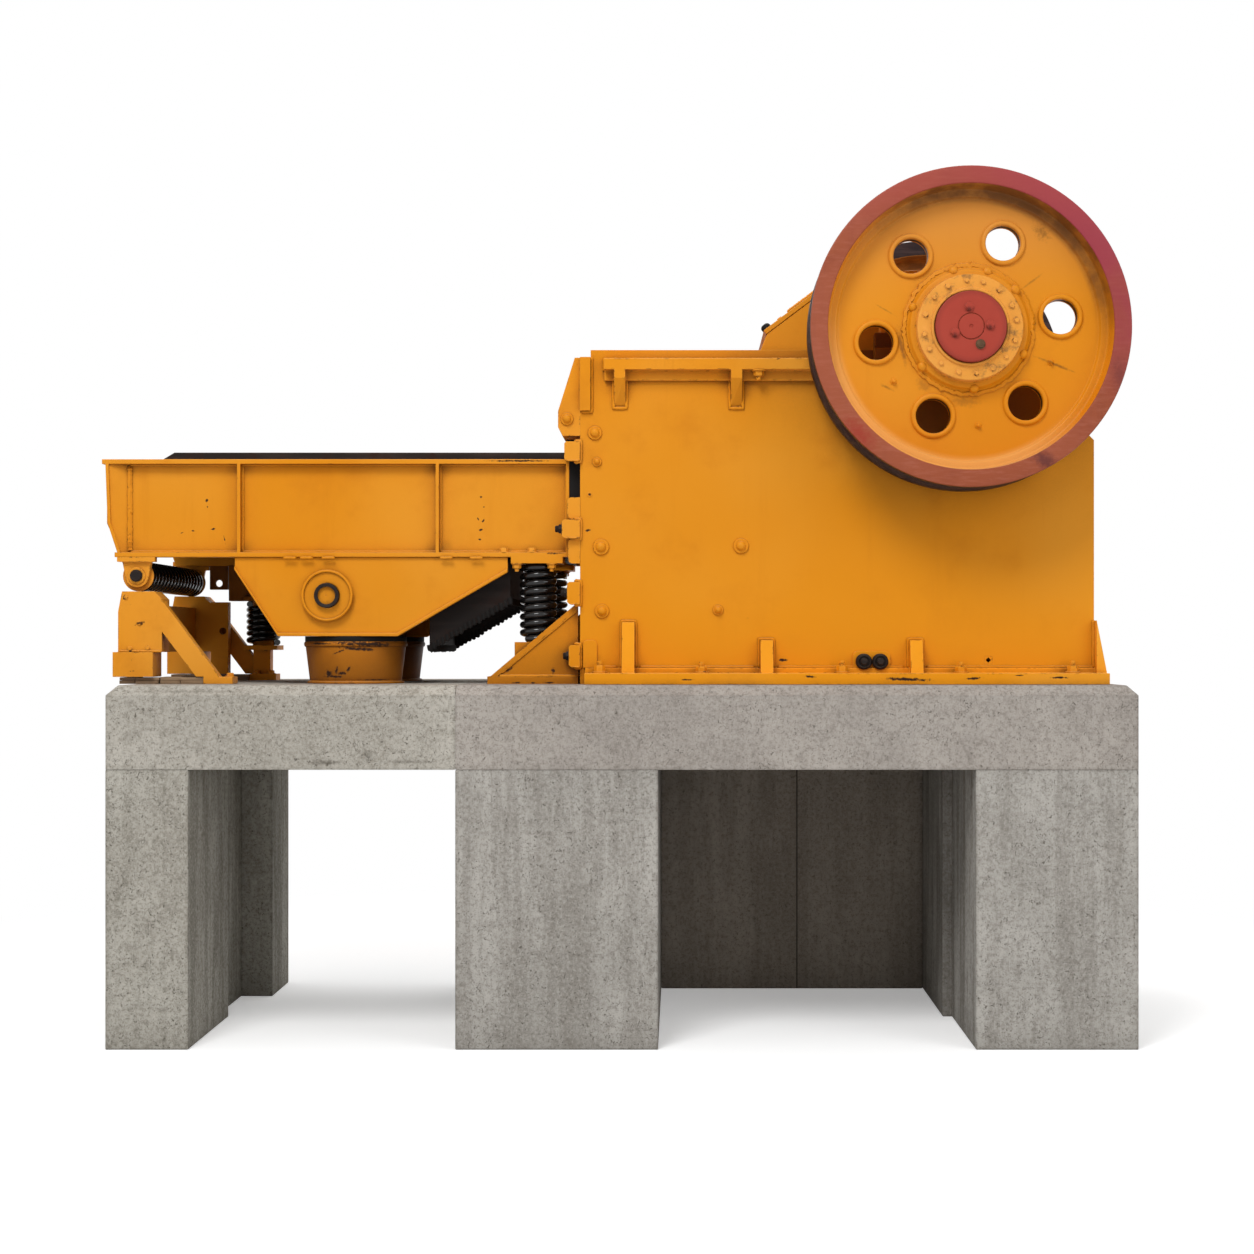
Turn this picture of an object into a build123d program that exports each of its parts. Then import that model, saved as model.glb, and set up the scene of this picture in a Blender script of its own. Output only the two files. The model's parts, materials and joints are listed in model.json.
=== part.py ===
from build123d import *
import math
import os

os.makedirs("parts", exist_ok=True)

# Jaw crusher fed by a vibrating feeder, both standing on a concrete plinth.
# X runs from the feeder to the crusher, Y runs across, Z is up.
# The origin is at ground level, at the middle of the plinth. All sizes are in millimetres.

# Concrete plinth
left_leg_width = 373
left_bay_width = 1202
middle_leg_width = 913
right_leg_width = 733
slab_beyond_frame = 138
plinth_depth = 1900
leg_height = 1260
slab_thickness = 380
slab_edge_chamfer = 45
front_pier_depth = 850
rear_pier_depth = 450
web_setback = 60
rear_pier_proud = 100
right_web_proud = 45
back_wall_thickness = 200
discharge_from_front_wall = 124
discharge_length = 750
discharge_width = 860

# Crusher frame
crusher_from_seam = 547
frame_length = 2392
frame_height = 1555
chamber_width = 1130
plate_thickness = 60
rear_plate_height = 1136
rear_corner_cut = 37
front_top_step = 49
front_top_drop = 35
base_flange_width = 125
base_flange_thickness = 52
base_strip_height = 24
base_strip_width = 26
base_flange_overhang = 49
gusset_thickness = 58
gusset_slope_width = 90
gusset_places = ((196, 212), (838, 129), (1531, 129))
end_gusset_height = 222
end_gusset_thickness = 65
rail_start = 114
rail_length = 1190
rail_height = 51
rail_drop = 48
rail_width = 75
rail_strip_height = 46
rail_strip_width = 25
bracket_places = (160, 701)
bracket_thickness = 52
bracket_height = 166
bracket_nose_height = 40
hood_reach = 103
hood_drop = 400
hood_lip_height = 41
hood_nose_height = 116
hood_wall = 80
hood_rib_proud = 25
front_wall_thickness = 330
front_wall_height = 650
jaw_ledge_height = 120
jaw_ledge_depth = 64
rear_wall_thickness = 80
rear_wall_height = 1060
rear_wall_setback = 20
toggle_block_height = 280
toggle_block_bottom = 320
toggle_block_length = 560
tie_pin_radius = 25
tie_pin_spacing = 76
tie_pin_from_front = 1356
tie_pin_clear = 29
tie_pin_end = 12
tie_pad_thickness = 15
tie_pad_margin = 24
foot_pad_from_front = 14
foot_pad_width = 65
foot_pad_height = 129
foot_pad_thickness = 12
service_hole_from_front = 1900
service_hole_height = 112
service_hole_size = 36

# Blocks that clamp the front wall, on the front edge of each side plate:
# bottom height above the slab, block height, block depth, length of the stud in front of it
tie_blocks = ((80, 102, 51, 28), (373, 102, 59, 30), (680, 84, 83, 33), (1039, 88, 72, 0))
tie_block_chamfer = 9
tie_block_width = 58
tie_block_overlap = 33
tie_stud_radius = 24

# Rounded lugs between the clamp blocks: bottom height above the slab, lug height, reach to the front
front_lugs = ((562, 114, 55), (768, 101, 59))
front_lug_thickness = 30

# Jaws
jaw_thickness = 90
tooth_pitch = 84
tooth_depth = 26
fixed_jaw_height = 525
swing_jaw_length = 1230
jaw_gap = 110
nip_angle = 24
jaw_side_clearance = 10
cheek_thickness = 30
cheek_height = 1140
cheek_clearance = 4

# Shaft, bearings and pitman
shaft_from_front = 1765
shaft_above_plate = 50
eccentricity = 12
bearing_radius = 110
eccentric_radius = 130
wheel_seat_radius = 95
running_fit = 0.05
seat_gap = 0.3
housing_radius = 290
housing_width = 140
housing_inset = 5
housing_cover_radius = 200
housing_cover_width = 18
housing_lug_reach = 400
housing_lug_height = 70
housing_seat_height = 60
barrel_radius = 330
pitman_edge_inset = 5
pitman_rib_thickness = 45
pitman_face_plate = 90
pitman_toe = 180
pitman_head = 130
toggle_seat_height = 190
heel_from_jaw_seat = 580
toggle_thickness = 56
toggle_width = 900
toggle_clearance = 32
guard_plate_thickness = 22
guard_overhang = 20
guard_lower_length = 430
guard_slope = 37
guard_edge_from_front = 871
guard_edge_above_plate = 87
guard_rib_thickness = 30
guard_rib_start = 60
guard_top_setback = 120

# Flywheels
wheel_radius = 718
wheel_width = 300
wheel_gap = 110
rim_thickness = 80
web_thickness = 60
web_recess = 110
hub_radius = 276
hub_step = 36
window_radius = 80
window_pitch_radius = 420
window_count = 6
window_start_angle = 8
flange_radius = 238
flange_thickness = 40
cap_radius = 160
cap_thickness = 30
cap_boss_radius = 56
cap_boss_height = 14

# Feeder
feeder_gap = 53
feeder_length = 2174
feeder_side_clearance = 8
feeder_bottom_height = 593
feeder_side_height = 457
feeder_web = 20
feeder_flange_proud = 45
feeder_flange_thickness = 22
top_flange_overhang = 9
bottom_flange_overhang = 20
wing_inset = 7
feeder_stiffeners = (630, 1558)
stiffener_thickness = 14
end_post_width = 14
rear_cut_x = 70
rear_cut_step = 18
rear_cut_z = 158
pan_height = 57
pan_thickness = 20
rear_plate_inset = 61
rear_plate_thickness = 20
grizzly_length = 690
grizzly_bar_width = 42
grizzly_bar_height = 50
grizzly_bar_count = 9
grizzly_beam = 40
liner_thickness = 15
liner_start = 253
liner_ramp = 62
liner_rise = 37
spring_pad_length = 243
spring_pad_thickness = 29

# Exciter under the feeder
exciter_plate_thickness = 25
exciter_from_web = 5
exciter_start = 609
exciter_length = 1277
exciter_band = 58
exciter_depth = 370
exciter_toe_start = 204
exciter_toe_length = 558
exciter_rise = 70
exciter_lip_height = 16
exciter_lip_proud = 14
exciter_from_rear = 1045
exciter_above_toe = 190
exciter_tube_radius = 175
exciter_boss_radius = 112
exciter_boss_height = 22
exciter_bore_radius = 58
exciter_shaft_radius = 44
exciter_shaft_proud = 10
buffer_top_radius = 240
buffer_bottom_radius = 216
buffer_inset = 200
buffer_pad_thickness = 24
buffer_from_rear = 1142

# Chute under the grizzly bars
chute_from_end = 280
chute_length = 380
chute_wall = 12
chute_drop = 438
chute_slope = 30.3

# Springs and stands
front_spring_from_end = 151
front_spring_inset = 110
spring_radius = 88
spring_wire = 32
front_seat_height = 196
front_seat_length = 212
front_seat_width = 160
stand_base_thickness = 35
front_stand_length = 424
front_stand_gap = 11
front_stand_proud = 6
front_stand_depth = 206
brace_height = 315
brace_foot_inset = 46
brace_flange_thickness = 32
brace_flange_width = 26
brace_web_setback = 8
brace_web_thickness = 16
rear_pin_from_rear = 150
rear_pin_drop = 87
rear_pin_radius = 28
rear_coil_radius = 73
rear_coil_bore = 45
lug_width = 136
lug_pad_width = 178
lug_radius = 54
lug_thickness = 25
lug_pad_thickness = 22
rear_stand_offset = 19
rear_stand_length = 205
rear_stand_depth = 150
rear_stand_lean = 18
rear_stand_corner = 36
rear_foot_height = 116
rear_foot_depth = 170
rear_foot_length = 188
rear_foot_offset = 123
packing_thickness = 33
packing_depth = 160
rear_cross_plate = 25
rear_brace_reach = 270
rear_brace_setback = 41
rear_brace_depth = 147
rear_brace_run = 110
rear_brace_width = 60
rear_foot_plate_length = 137
rear_post_width = 90
rear_post_setback = 30
rear_post_hole_radius = 18
rear_post_hole_from_stand = 62
rear_post_hole_height = 221
far_spring_from_rear = 520
far_spring_height = 230
far_spring_rise = 123.5
far_seat_thickness = 24
far_hanger_reach = 172
far_lug_from_rear = 243
far_lug_width = 95
far_lug_height = 123
far_lug_hole_drop = 90

# Places worked out from the sizes
crusher_slab_length = crusher_from_seam + frame_length + slab_beyond_frame
right_bay_width = crusher_slab_length - middle_leg_width - right_leg_width
plinth_length = left_leg_width + left_bay_width + crusher_slab_length
plinth_left = -plinth_length / 2
left_leg_inner = plinth_left + left_leg_width
seam_x = left_leg_inner + left_bay_width
middle_leg_right = seam_x + middle_leg_width
right_leg_inner = middle_leg_right + right_bay_width
plinth_right = plinth_length / 2
plinth_front = -plinth_depth / 2
plinth_back = plinth_depth / 2
slab_top = leg_height + slab_thickness
strip_top = slab_top + base_flange_thickness + base_strip_height

crusher_front = seam_x + crusher_from_seam
crusher_rear = crusher_front + frame_length
plate_top = slab_top + frame_height
inner_face = chamber_width / 2
outer_face = inner_face + plate_thickness
front_wall_back = crusher_front + front_wall_thickness
front_wall_top = slab_top + front_wall_height
shaft_x = crusher_front + shaft_from_front
shaft_z = plate_top + shaft_above_plate
eccentric_z = shaft_z - eccentricity
housing_inner = inner_face - housing_inset
housing_outer = housing_inner + housing_width
wheel_inner = outer_face + wheel_gap
wheel_outer = wheel_inner + wheel_width
web_outer = wheel_outer - web_recess
web_inner = web_outer - web_thickness

feeder_end = crusher_front - feeder_gap
feeder_rear = feeder_end - feeder_length
feeder_bottom = slab_top + feeder_bottom_height
feeder_top = feeder_bottom + feeder_side_height
flange_edge = inner_face + tie_block_overlap - feeder_side_clearance
web_back = flange_edge - feeder_flange_proud
web_face = web_back - feeder_web
pan_top = feeder_bottom + pan_height + pan_thickness
pan_bottom = feeder_bottom + pan_height
pan_end = feeder_end - end_post_width - grizzly_length
exciter_x = feeder_rear + exciter_from_rear
exciter_toe = feeder_bottom - exciter_depth
exciter_z = exciter_toe + exciter_above_toe
exciter_face = web_back + exciter_from_web
rear_pin_x = feeder_rear + rear_pin_from_rear
rear_pin_z = feeder_bottom - rear_pin_drop
rear_stand_top = rear_pin_z - rear_coil_radius - seat_gap


def block(x0, x1, y0, y1, z0, z1):
    """Box between two opposite corners."""
    middle = Pos((x0 + x1) / 2, (y0 + y1) / 2, (z0 + z1) / 2)
    return middle * Box(x1 - x0, y1 - y0, z1 - z0)


def across(points, y0, y1):
    """Outline given as (x, z) corners, extruded from y0 to y1."""
    outline = Plane.XZ * Polygon(*points, align=None)
    return Pos(0, y1, 0) * extrude(outline, amount=y1 - y0, dir=(0, -1, 0))


def rod(x, z, radius, y0, y1):
    """Round bar along Y."""
    return Pos(x, (y0 + y1) / 2, z) * Rot(90, 0, 0) * Cylinder(radius, y1 - y0)


def upright(x, y, z0, z1, radius):
    """Round bar along Z."""
    return Pos(x, y, (z0 + z1) / 2) * Cylinder(radius, z1 - z0)


def far(shape):
    """The same shape on the far side of the machine."""
    return mirror(shape, about=Plane.XZ)


def tangent_point(corner, centre, radius, turn):
    """Where a line from a corner touches a circle. turn is 1 or -1 for the side it touches."""
    dx = centre[0] - corner[0]
    dz = centre[1] - corner[1]
    distance = math.hypot(dx, dz)
    direction = math.atan2(dz, dx) + turn * math.asin(radius / distance)
    length = math.sqrt(distance ** 2 - radius ** 2)
    return corner[0] + length * math.cos(direction), corner[1] + length * math.sin(direction)


def save(shape, node):
    export_step(shape, f"parts/{node}.step")


# Plinth: three legs, a back wall in the right bay and a slab poured in two parts
def slab(x0, x1, outer_end):
    body = block(x0, x1, plinth_front, plinth_back, leg_height, slab_top)
    top_edges = body.edges().filter_by(Axis.Y, reverse=True).group_by(Axis.Z)[-1]
    long_edges = top_edges.filter_by(Axis.X)
    end_edge = body.edges().filter_by(Axis.Y).group_by(Axis.Z)[-1].sort_by(Axis.X)[outer_end]
    return chamfer(long_edges + [end_edge], slab_edge_chamfer)


def left_leg():
    pier_back = plinth_front + front_pier_depth
    rear_front = plinth_back - rear_pier_depth
    rear_inner = left_leg_inner + rear_pier_proud
    front_pier = block(plinth_left, left_leg_inner, plinth_front, pier_back, 0, leg_height)
    web = block(plinth_left, left_leg_inner - web_setback, pier_back, rear_front, 0, leg_height)
    rear_pier = block(plinth_left, rear_inner, rear_front, plinth_back, 0, leg_height)
    return front_pier + web + rear_pier


def right_leg():
    pier_back = plinth_front + front_pier_depth
    front_pier = block(right_leg_inner, plinth_right, plinth_front, pier_back, 0, leg_height)
    web = block(right_leg_inner - right_web_proud, plinth_right, pier_back, plinth_back, 0, leg_height)
    return front_pier + web


def crusher_slab():
    body = slab(seam_x, plinth_right, -1)
    hole_start = front_wall_back + discharge_from_front_wall
    half = discharge_width / 2
    hole = block(hole_start, hole_start + discharge_length, -half, half, leg_height, slab_top)
    return body - hole


save(slab(plinth_left, seam_x, 0), "feeder_slab")
save(crusher_slab(), "crusher_slab")
save(left_leg(), "left_leg")
save(block(seam_x, middle_leg_right, plinth_front, plinth_back, 0, leg_height), "middle_leg")
save(right_leg(), "right_leg")
back_wall_front = plinth_back - back_wall_thickness
wall_end = right_leg_inner - right_web_proud
save(block(middle_leg_right, wall_end, back_wall_front, plinth_back, 0, leg_height), "back_wall")


# Side plates, with the saddle that takes the bearing housing
def side_plate():
    rear_top = slab_top + rear_plate_height
    shoulder_x = shaft_x + housing_lug_reach
    outline = [
        (crusher_front, slab_top),
        (crusher_rear, slab_top),
        (crusher_rear, rear_top),
        (crusher_rear - rear_corner_cut, rear_top + rear_corner_cut),
        (shoulder_x, plate_top),
        (crusher_front + front_top_step, plate_top),
        (crusher_front + front_top_step, plate_top - front_top_drop),
        (crusher_front, plate_top - front_top_drop),
    ]
    plate = across(outline, -outer_face, -inner_face)
    seat_left = shaft_x - housing_lug_reach
    seat_bottom = plate_top - housing_seat_height
    seat = block(seat_left, shoulder_x, -housing_outer, -outer_face, seat_bottom, plate_top)
    saddle = rod(shaft_x, shaft_z, housing_radius + seat_gap, -housing_outer, -inner_face)
    rib_right = crusher_front + front_top_step
    rib_bottom = plate_top - hood_drop + hood_nose_height
    rib_top = plate_top - front_top_drop
    rib = block(crusher_front, rib_right, -outer_face - hood_rib_proud, -outer_face, rib_bottom, rib_top)
    pin_x = crusher_front + tie_pin_from_front
    pin_z = strip_top + tie_pin_clear
    pad_top = pin_z + tie_pin_radius + tie_pad_margin
    pad_half = tie_pin_spacing / 2 + tie_pin_radius + tie_pad_margin
    pad = block(pin_x - pad_half, pin_x + pad_half, -outer_face - tie_pad_thickness, -outer_face,
                strip_top, pad_top)
    pad = fillet(pad.edges().filter_by(Axis.Y).group_by(Axis.Z)[-1], tie_pad_margin)
    foot_left = crusher_front + foot_pad_from_front
    foot_pad = block(foot_left, foot_left + foot_pad_width, -outer_face - foot_pad_thickness, -outer_face,
                     strip_top, strip_top + foot_pad_height)
    foot_pad = fillet(foot_pad.edges().filter_by(Axis.Y).group_by(Axis.Z)[-1], foot_pad_width / 3)
    hole_x = crusher_front + service_hole_from_front
    hole_z = slab_top + service_hole_height
    hole_half = service_hole_size / 2
    hole = block(hole_x - hole_half, hole_x + hole_half, -outer_face, -inner_face, hole_z - hole_half,
                 hole_z + hole_half)
    body = plate + seat + rib + pad + foot_pad - saddle - hole
    for side in (-1, 1):
        place = pin_x + side * tie_pin_spacing / 2
        bore = tie_pin_radius + seat_gap
        body = body - rod(place, pin_z, bore, -outer_face - tie_pad_thickness, -inner_face)
    return body


def base_flange():
    flange_top = slab_top + base_flange_thickness
    start = crusher_front + front_top_step / 2
    end = crusher_rear + base_flange_overhang
    edge = -outer_face - base_flange_width
    body = block(start, end, edge, -outer_face, slab_top, flange_top)
    body = body + block(start, crusher_rear, -outer_face - base_strip_width, -outer_face, flange_top,
                        strip_top)
    for place, height in gusset_places:
        x = crusher_front + place
        profile = Plane.YZ * Polygon((-outer_face, flange_top), (-outer_face, strip_top + height),
                                     (-outer_face - gusset_slope_width / 2, strip_top + height),
                                     (-outer_face - gusset_slope_width, flange_top), align=None)
        body = body + Pos(x, 0, 0) * extrude(profile, amount=gusset_thickness, dir=(1, 0, 0))
    corners = [(crusher_rear, flange_top), (end, flange_top), (crusher_rear, strip_top + end_gusset_height)]
    return body + across(corners, -outer_face - end_gusset_thickness, -outer_face)


def top_rail():
    left = crusher_front + rail_start
    top = plate_top - rail_drop
    bottom = top - rail_height
    right = left + rail_length
    body = block(left, right, -outer_face - rail_width, -outer_face, bottom, top)
    body = body + block(left, right, -outer_face - rail_strip_width, -outer_face,
                        bottom - rail_strip_height, bottom)
    for place in bracket_places:
        x = crusher_front + place
        profile = Plane.YZ * Polygon((-outer_face, bottom), (-outer_face - rail_width, bottom),
                                     (-outer_face - rail_width, bottom - bracket_nose_height),
                                     (-outer_face, bottom - bracket_height), align=None)
        body = body + Pos(x, 0, 0) * extrude(profile, amount=bracket_thickness, dir=(1, 0, 0))
    return body


save(side_plate(), "near_side_plate")
save(far(side_plate()), "far_side_plate")
save(Compound([base_flange(), far(base_flange())]), "base_flanges")
save(Compound([top_rail(), far(top_rail())]), "top_rails")


# Cross members between the side plates
def feed_hood():
    bottom = plate_top - hood_drop
    top = plate_top - front_top_drop
    nose = crusher_front - hood_reach
    beak = across([
        (crusher_front, bottom),
        (nose + hood_lip_height / 2, bottom),
        (nose, bottom + hood_lip_height),
        (nose, bottom + hood_nose_height),
        (crusher_front - hood_rib_proud, top),
        (crusher_front, top),
    ], -outer_face, outer_face)
    inner = block(crusher_front, crusher_front + hood_wall, -inner_face, inner_face, bottom, top)
    return beak + inner


def front_wall():
    ledge_top = slab_top + jaw_ledge_height
    ledge_back = front_wall_back + jaw_ledge_depth
    return across([
        (crusher_front, slab_top),
        (ledge_back, slab_top),
        (ledge_back, ledge_top),
        (front_wall_back, ledge_top),
        (front_wall_back, front_wall_top),
        (crusher_front, front_wall_top),
    ], -inner_face, inner_face)


rear_wall_back = crusher_rear - rear_wall_setback
rear_wall_front = rear_wall_back - rear_wall_thickness
rear_wall = block(rear_wall_front, rear_wall_back, -inner_face, inner_face, slab_top,
                  slab_top + rear_wall_height)
block_front = rear_wall_front - toggle_block_length
block_bottom = slab_top + toggle_block_bottom
block_top = block_bottom + toggle_block_height
toggle_z = (block_bottom + block_top) / 2
save(feed_hood(), "feed_hood")
save(front_wall(), "front_wall")
save(rear_wall, "rear_wall")


def tie_pins():
    pin_x = crusher_front + tie_pin_from_front
    pin_z = strip_top + tie_pin_clear
    end = outer_face + tie_pad_thickness + tie_pin_end
    pins = [rod(pin_x + side * tie_pin_spacing / 2, pin_z, tie_pin_radius, -end, end) for side in (-1, 1)]
    return Compound(pins)


clamp_edge = -inner_face - tie_block_overlap


def clamp_blocks():
    pieces = []
    for bottom, height, depth, stud in tie_blocks:
        z0 = slab_top + bottom
        piece = block(crusher_front - depth, crusher_front, clamp_edge - tie_block_width, clamp_edge,
                      z0, z0 + height)
        pieces.append(chamfer(piece.edges().filter_by(Axis.Y).sort_by(Axis.X)[:2], tie_block_chamfer))
    for bottom, height, reach in front_lugs:
        z0 = slab_top + bottom
        piece = block(crusher_front - reach, crusher_front, clamp_edge - front_lug_thickness, clamp_edge,
                      z0, z0 + height)
        pieces.append(fillet(piece.edges().filter_by(Axis.Y).sort_by(Axis.X)[:2], reach / 3))
    return Compound(pieces + [far(piece) for piece in pieces])


def clamp_studs():
    """Hexagon ends of the bolts, face to face with the front of their blocks."""
    pieces = []
    for bottom, height, depth, stud in tie_blocks:
        if stud:
            middle = Pos(crusher_front - depth - stud / 2, clamp_edge - tie_block_width / 2,
                         slab_top + bottom + height / 2)
            section = RegularPolygon(tie_stud_radius, 6)
            pieces.append(middle * Rot(0, 90, 0) * extrude(section, amount=stud / 2, both=True))
    return Compound(pieces + [far(piece) for piece in pieces])


save(tie_pins(), "tie_pins")
save(clamp_blocks(), "clamp_blocks")
save(clamp_studs(), "clamp_studs")


# Jaw plates: vertical teeth on the working face
def toothed_plate(width, height):
    """Plate in its own frame: back on X = 0, teeth towards -X, standing on Z = 0."""
    half = width / 2
    count = int(width // tooth_pitch)
    margin = (width - count * tooth_pitch) / 2
    root = -(jaw_thickness - tooth_depth)
    points = [(0, -half), (root, -half)]
    for index in range(count):
        start = -half + margin + index * tooth_pitch
        points += [(root, start), (-jaw_thickness, start + tooth_pitch * 0.4),
                   (-jaw_thickness, start + tooth_pitch * 0.6)]
    points += [(root, half - margin), (root, half), (0, half)]
    clean = [point for index, point in enumerate(points) if index == 0 or point != points[index - 1]]
    return extrude(Polygon(*clean, align=None), amount=height, dir=(0, 0, 1))


jaw_width = chamber_width - 2 * cheek_thickness - 2 * jaw_side_clearance
ledge_z = slab_top + jaw_ledge_height
fixed_jaw = Pos(front_wall_back, 0, ledge_z) * Rot(0, 0, 180) * toothed_plate(jaw_width, fixed_jaw_height)
save(fixed_jaw, "fixed_jaw")

# The swing jaw leans back by the nip angle. Its face starts at the gap, level with the ledge.
lean = math.radians(nip_angle)
up_x = math.sin(lean)
up_z = math.cos(lean)
gap_x = front_wall_back + jaw_thickness + jaw_gap
seat_x = gap_x + jaw_thickness * up_z
seat_z = ledge_z - jaw_thickness * up_x
swing_jaw = Pos(seat_x, 0, seat_z) * Rot(0, nip_angle, 0) * toothed_plate(jaw_width, swing_jaw_length)
save(swing_jaw, "swing_jaw")


def along_face(distance, depth):
    """Point on the pitman: distance up its front face, depth behind the face."""
    return seat_x + distance * up_x + depth * up_z, seat_z + distance * up_z - depth * up_x


def cheek_plate():
    left = front_wall_back + cheek_clearance
    top = ledge_z + cheek_height
    lower = gap_x + jaw_thickness
    upper = lower + cheek_height * math.tan(lean)
    corners = [(left, ledge_z), (lower, ledge_z), (upper, top), (left, top)]
    return across(corners, -inner_face, -inner_face + cheek_thickness)


save(Compound([cheek_plate(), far(cheek_plate())]), "cheek_plates")


# Pitman: a ribbed casting hung on the eccentric, with the swing jaw on its front face
heel_x = seat_x + heel_from_jaw_seat
pitman_half = jaw_width / 2 - pitman_edge_inset
barrel_centre = (shaft_x, eccentric_z)
jaw_head = along_face(swing_jaw_length + pitman_head, 0)

# The guard plate rises from its lower edge and then runs level over the barrel.
guard_angle = math.radians(guard_slope)
guard_edge = (crusher_front + guard_edge_from_front, plate_top + guard_edge_above_plate)
guard_bend = (guard_edge[0] + guard_lower_length * math.cos(guard_angle),
              guard_edge[1] + guard_lower_length * math.sin(guard_angle))
guard_end = (shaft_x - guard_top_setback, eccentric_z + barrel_radius)


def pitman():
    foot = along_face(0, 0)
    toe = along_face(0, pitman_toe)
    heel = (heel_x, toggle_z + toggle_seat_height / 2)
    heel_low = (heel_x, toggle_z - toggle_seat_height / 2)
    head_tangent = tangent_point(jaw_head, barrel_centre, barrel_radius, 1)
    heel_tangent = tangent_point(heel, barrel_centre, barrel_radius, -1)
    profile = [foot, jaw_head, head_tangent, barrel_centre, heel_tangent, heel, heel_low, toe]
    rib_travel = 2 * pitman_half - pitman_rib_thickness
    body = rod(*barrel_centre, barrel_radius, -pitman_half, pitman_half)
    for share in (0, 1 / 3, 2 / 3, 1):
        start = -pitman_half + share * rib_travel
        body = body + across(profile, start, start + pitman_rib_thickness)
    face = [foot, jaw_head, along_face(swing_jaw_length + pitman_head, pitman_face_plate),
            along_face(0, pitman_face_plate)]
    body = body + across(face, -pitman_half, pitman_half)
    seat_front = heel_x - toggle_seat_height
    seat = [heel_low, heel, (seat_front, heel[1]), (seat_front, heel_low[1])]
    body = body + across(seat, -pitman_half, pitman_half)
    bracket_start = (guard_edge[0] + guard_rib_start * math.cos(guard_angle),
                     guard_edge[1] + guard_rib_start * math.sin(guard_angle))
    bracket = [bracket_start, guard_bend, guard_end, barrel_centre, jaw_head]
    body = body + across(bracket, -pitman_half, -pitman_half + guard_rib_thickness)
    body = body + across(bracket, pitman_half - guard_rib_thickness, pitman_half)
    groove = rod(heel_x, toggle_z, toggle_thickness / 2 + toggle_clearance, -pitman_half, pitman_half)
    bore = rod(*barrel_centre, eccentric_radius + running_fit, -pitman_half, pitman_half)
    return body - groove - bore


def pitman_guard():
    raise_x = -guard_plate_thickness * math.sin(guard_angle)
    raise_z = guard_plate_thickness * math.cos(guard_angle)
    top_end = (guard_end[0], guard_end[1] + guard_plate_thickness)
    top_bend = (guard_bend[0] + raise_x / 2, guard_bend[1] + guard_plate_thickness)
    outline = [guard_edge, guard_bend, guard_end, top_end, top_bend,
               (guard_edge[0] + raise_x, guard_edge[1] + raise_z)]
    half = pitman_half + guard_overhang
    return across(outline, -half, half)


save(pitman(), "pitman")
save(pitman_guard(), "pitman_guard")

# Toggle block on the rear wall, and the toggle plate that stands on its face
half_toggle = toggle_width / 2
toggle_block = block(block_front, rear_wall_front, -inner_face, inner_face, block_bottom, block_top)
toggle_half_thickness = toggle_thickness / 2
toggle_body = block(heel_x, block_front, -half_toggle, half_toggle, toggle_z - toggle_half_thickness,
                    toggle_z + toggle_half_thickness)
toggle_end = rod(heel_x, toggle_z, toggle_half_thickness, -half_toggle, half_toggle)
save(toggle_block, "toggle_block")
save(toggle_body + toggle_end, "toggle_plate")


# Shaft bearings, in the saddles of the side plates
def bearing_housing():
    body = rod(shaft_x, shaft_z, housing_radius, -housing_outer, -housing_inner)
    body = body + block(shaft_x - housing_lug_reach, shaft_x + housing_lug_reach, -housing_outer,
                        -outer_face, plate_top, plate_top + housing_lug_height)
    cover_end = -housing_outer - housing_cover_width
    body = body + rod(shaft_x, shaft_z, housing_cover_radius, cover_end, -housing_outer)
    return body - rod(shaft_x, shaft_z, bearing_radius + running_fit, cover_end, -housing_inner)


save(Compound([bearing_housing(), far(bearing_housing())]), "bearing_housings")

# Rotor: the shaft with its eccentric middle, two flywheels and their hub caps
eccentric_half = (pitman_half + housing_inner) / 2
hub_face = web_outer + hub_step
shaft_end = hub_face + flange_thickness
shaft = rod(shaft_x, shaft_z, wheel_seat_radius, -shaft_end, shaft_end)
shaft = shaft + rod(shaft_x, shaft_z, bearing_radius, -wheel_inner, wheel_inner)
shaft = shaft + rod(shaft_x, eccentric_z, eccentric_radius, -eccentric_half, eccentric_half)
save(shaft, "eccentric_shaft")


def flywheel():
    """Far flywheel: rim, web with round windows, and hub."""
    bore = wheel_seat_radius + seat_gap
    rim_inner = wheel_radius - rim_thickness
    profile = [
        (bore, wheel_inner),
        (hub_radius, wheel_inner),
        (hub_radius, web_inner),
        (rim_inner, web_inner),
        (rim_inner, wheel_inner),
        (wheel_radius, wheel_inner),
        (wheel_radius, wheel_outer),
        (rim_inner, wheel_outer),
        (rim_inner, web_outer),
        (hub_radius, web_outer),
        (hub_radius, hub_face),
        (flange_radius, hub_face),
        (flange_radius, shaft_end),
        (bore, shaft_end),
    ]
    body = Pos(shaft_x, 0, shaft_z) * revolve(Polygon(*profile, align=None), Axis.Y)
    for index in range(window_count):
        angle = math.radians(window_start_angle + index * 360 / window_count)
        x = shaft_x + window_pitch_radius * math.cos(angle)
        z = shaft_z + window_pitch_radius * math.sin(angle)
        body = body - rod(x, z, window_radius, web_inner, web_outer)
    return body


def hub_cap():
    cap_face = shaft_end + cap_thickness
    cap = rod(shaft_x, shaft_z, cap_radius, shaft_end, cap_face)
    return cap + rod(shaft_x, shaft_z, cap_boss_radius, cap_face, cap_face + cap_boss_height)


save(far(flywheel()), "near_flywheel")
save(flywheel(), "far_flywheel")
save(Compound([hub_cap(), far(hub_cap())]), "hub_caps")


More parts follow.
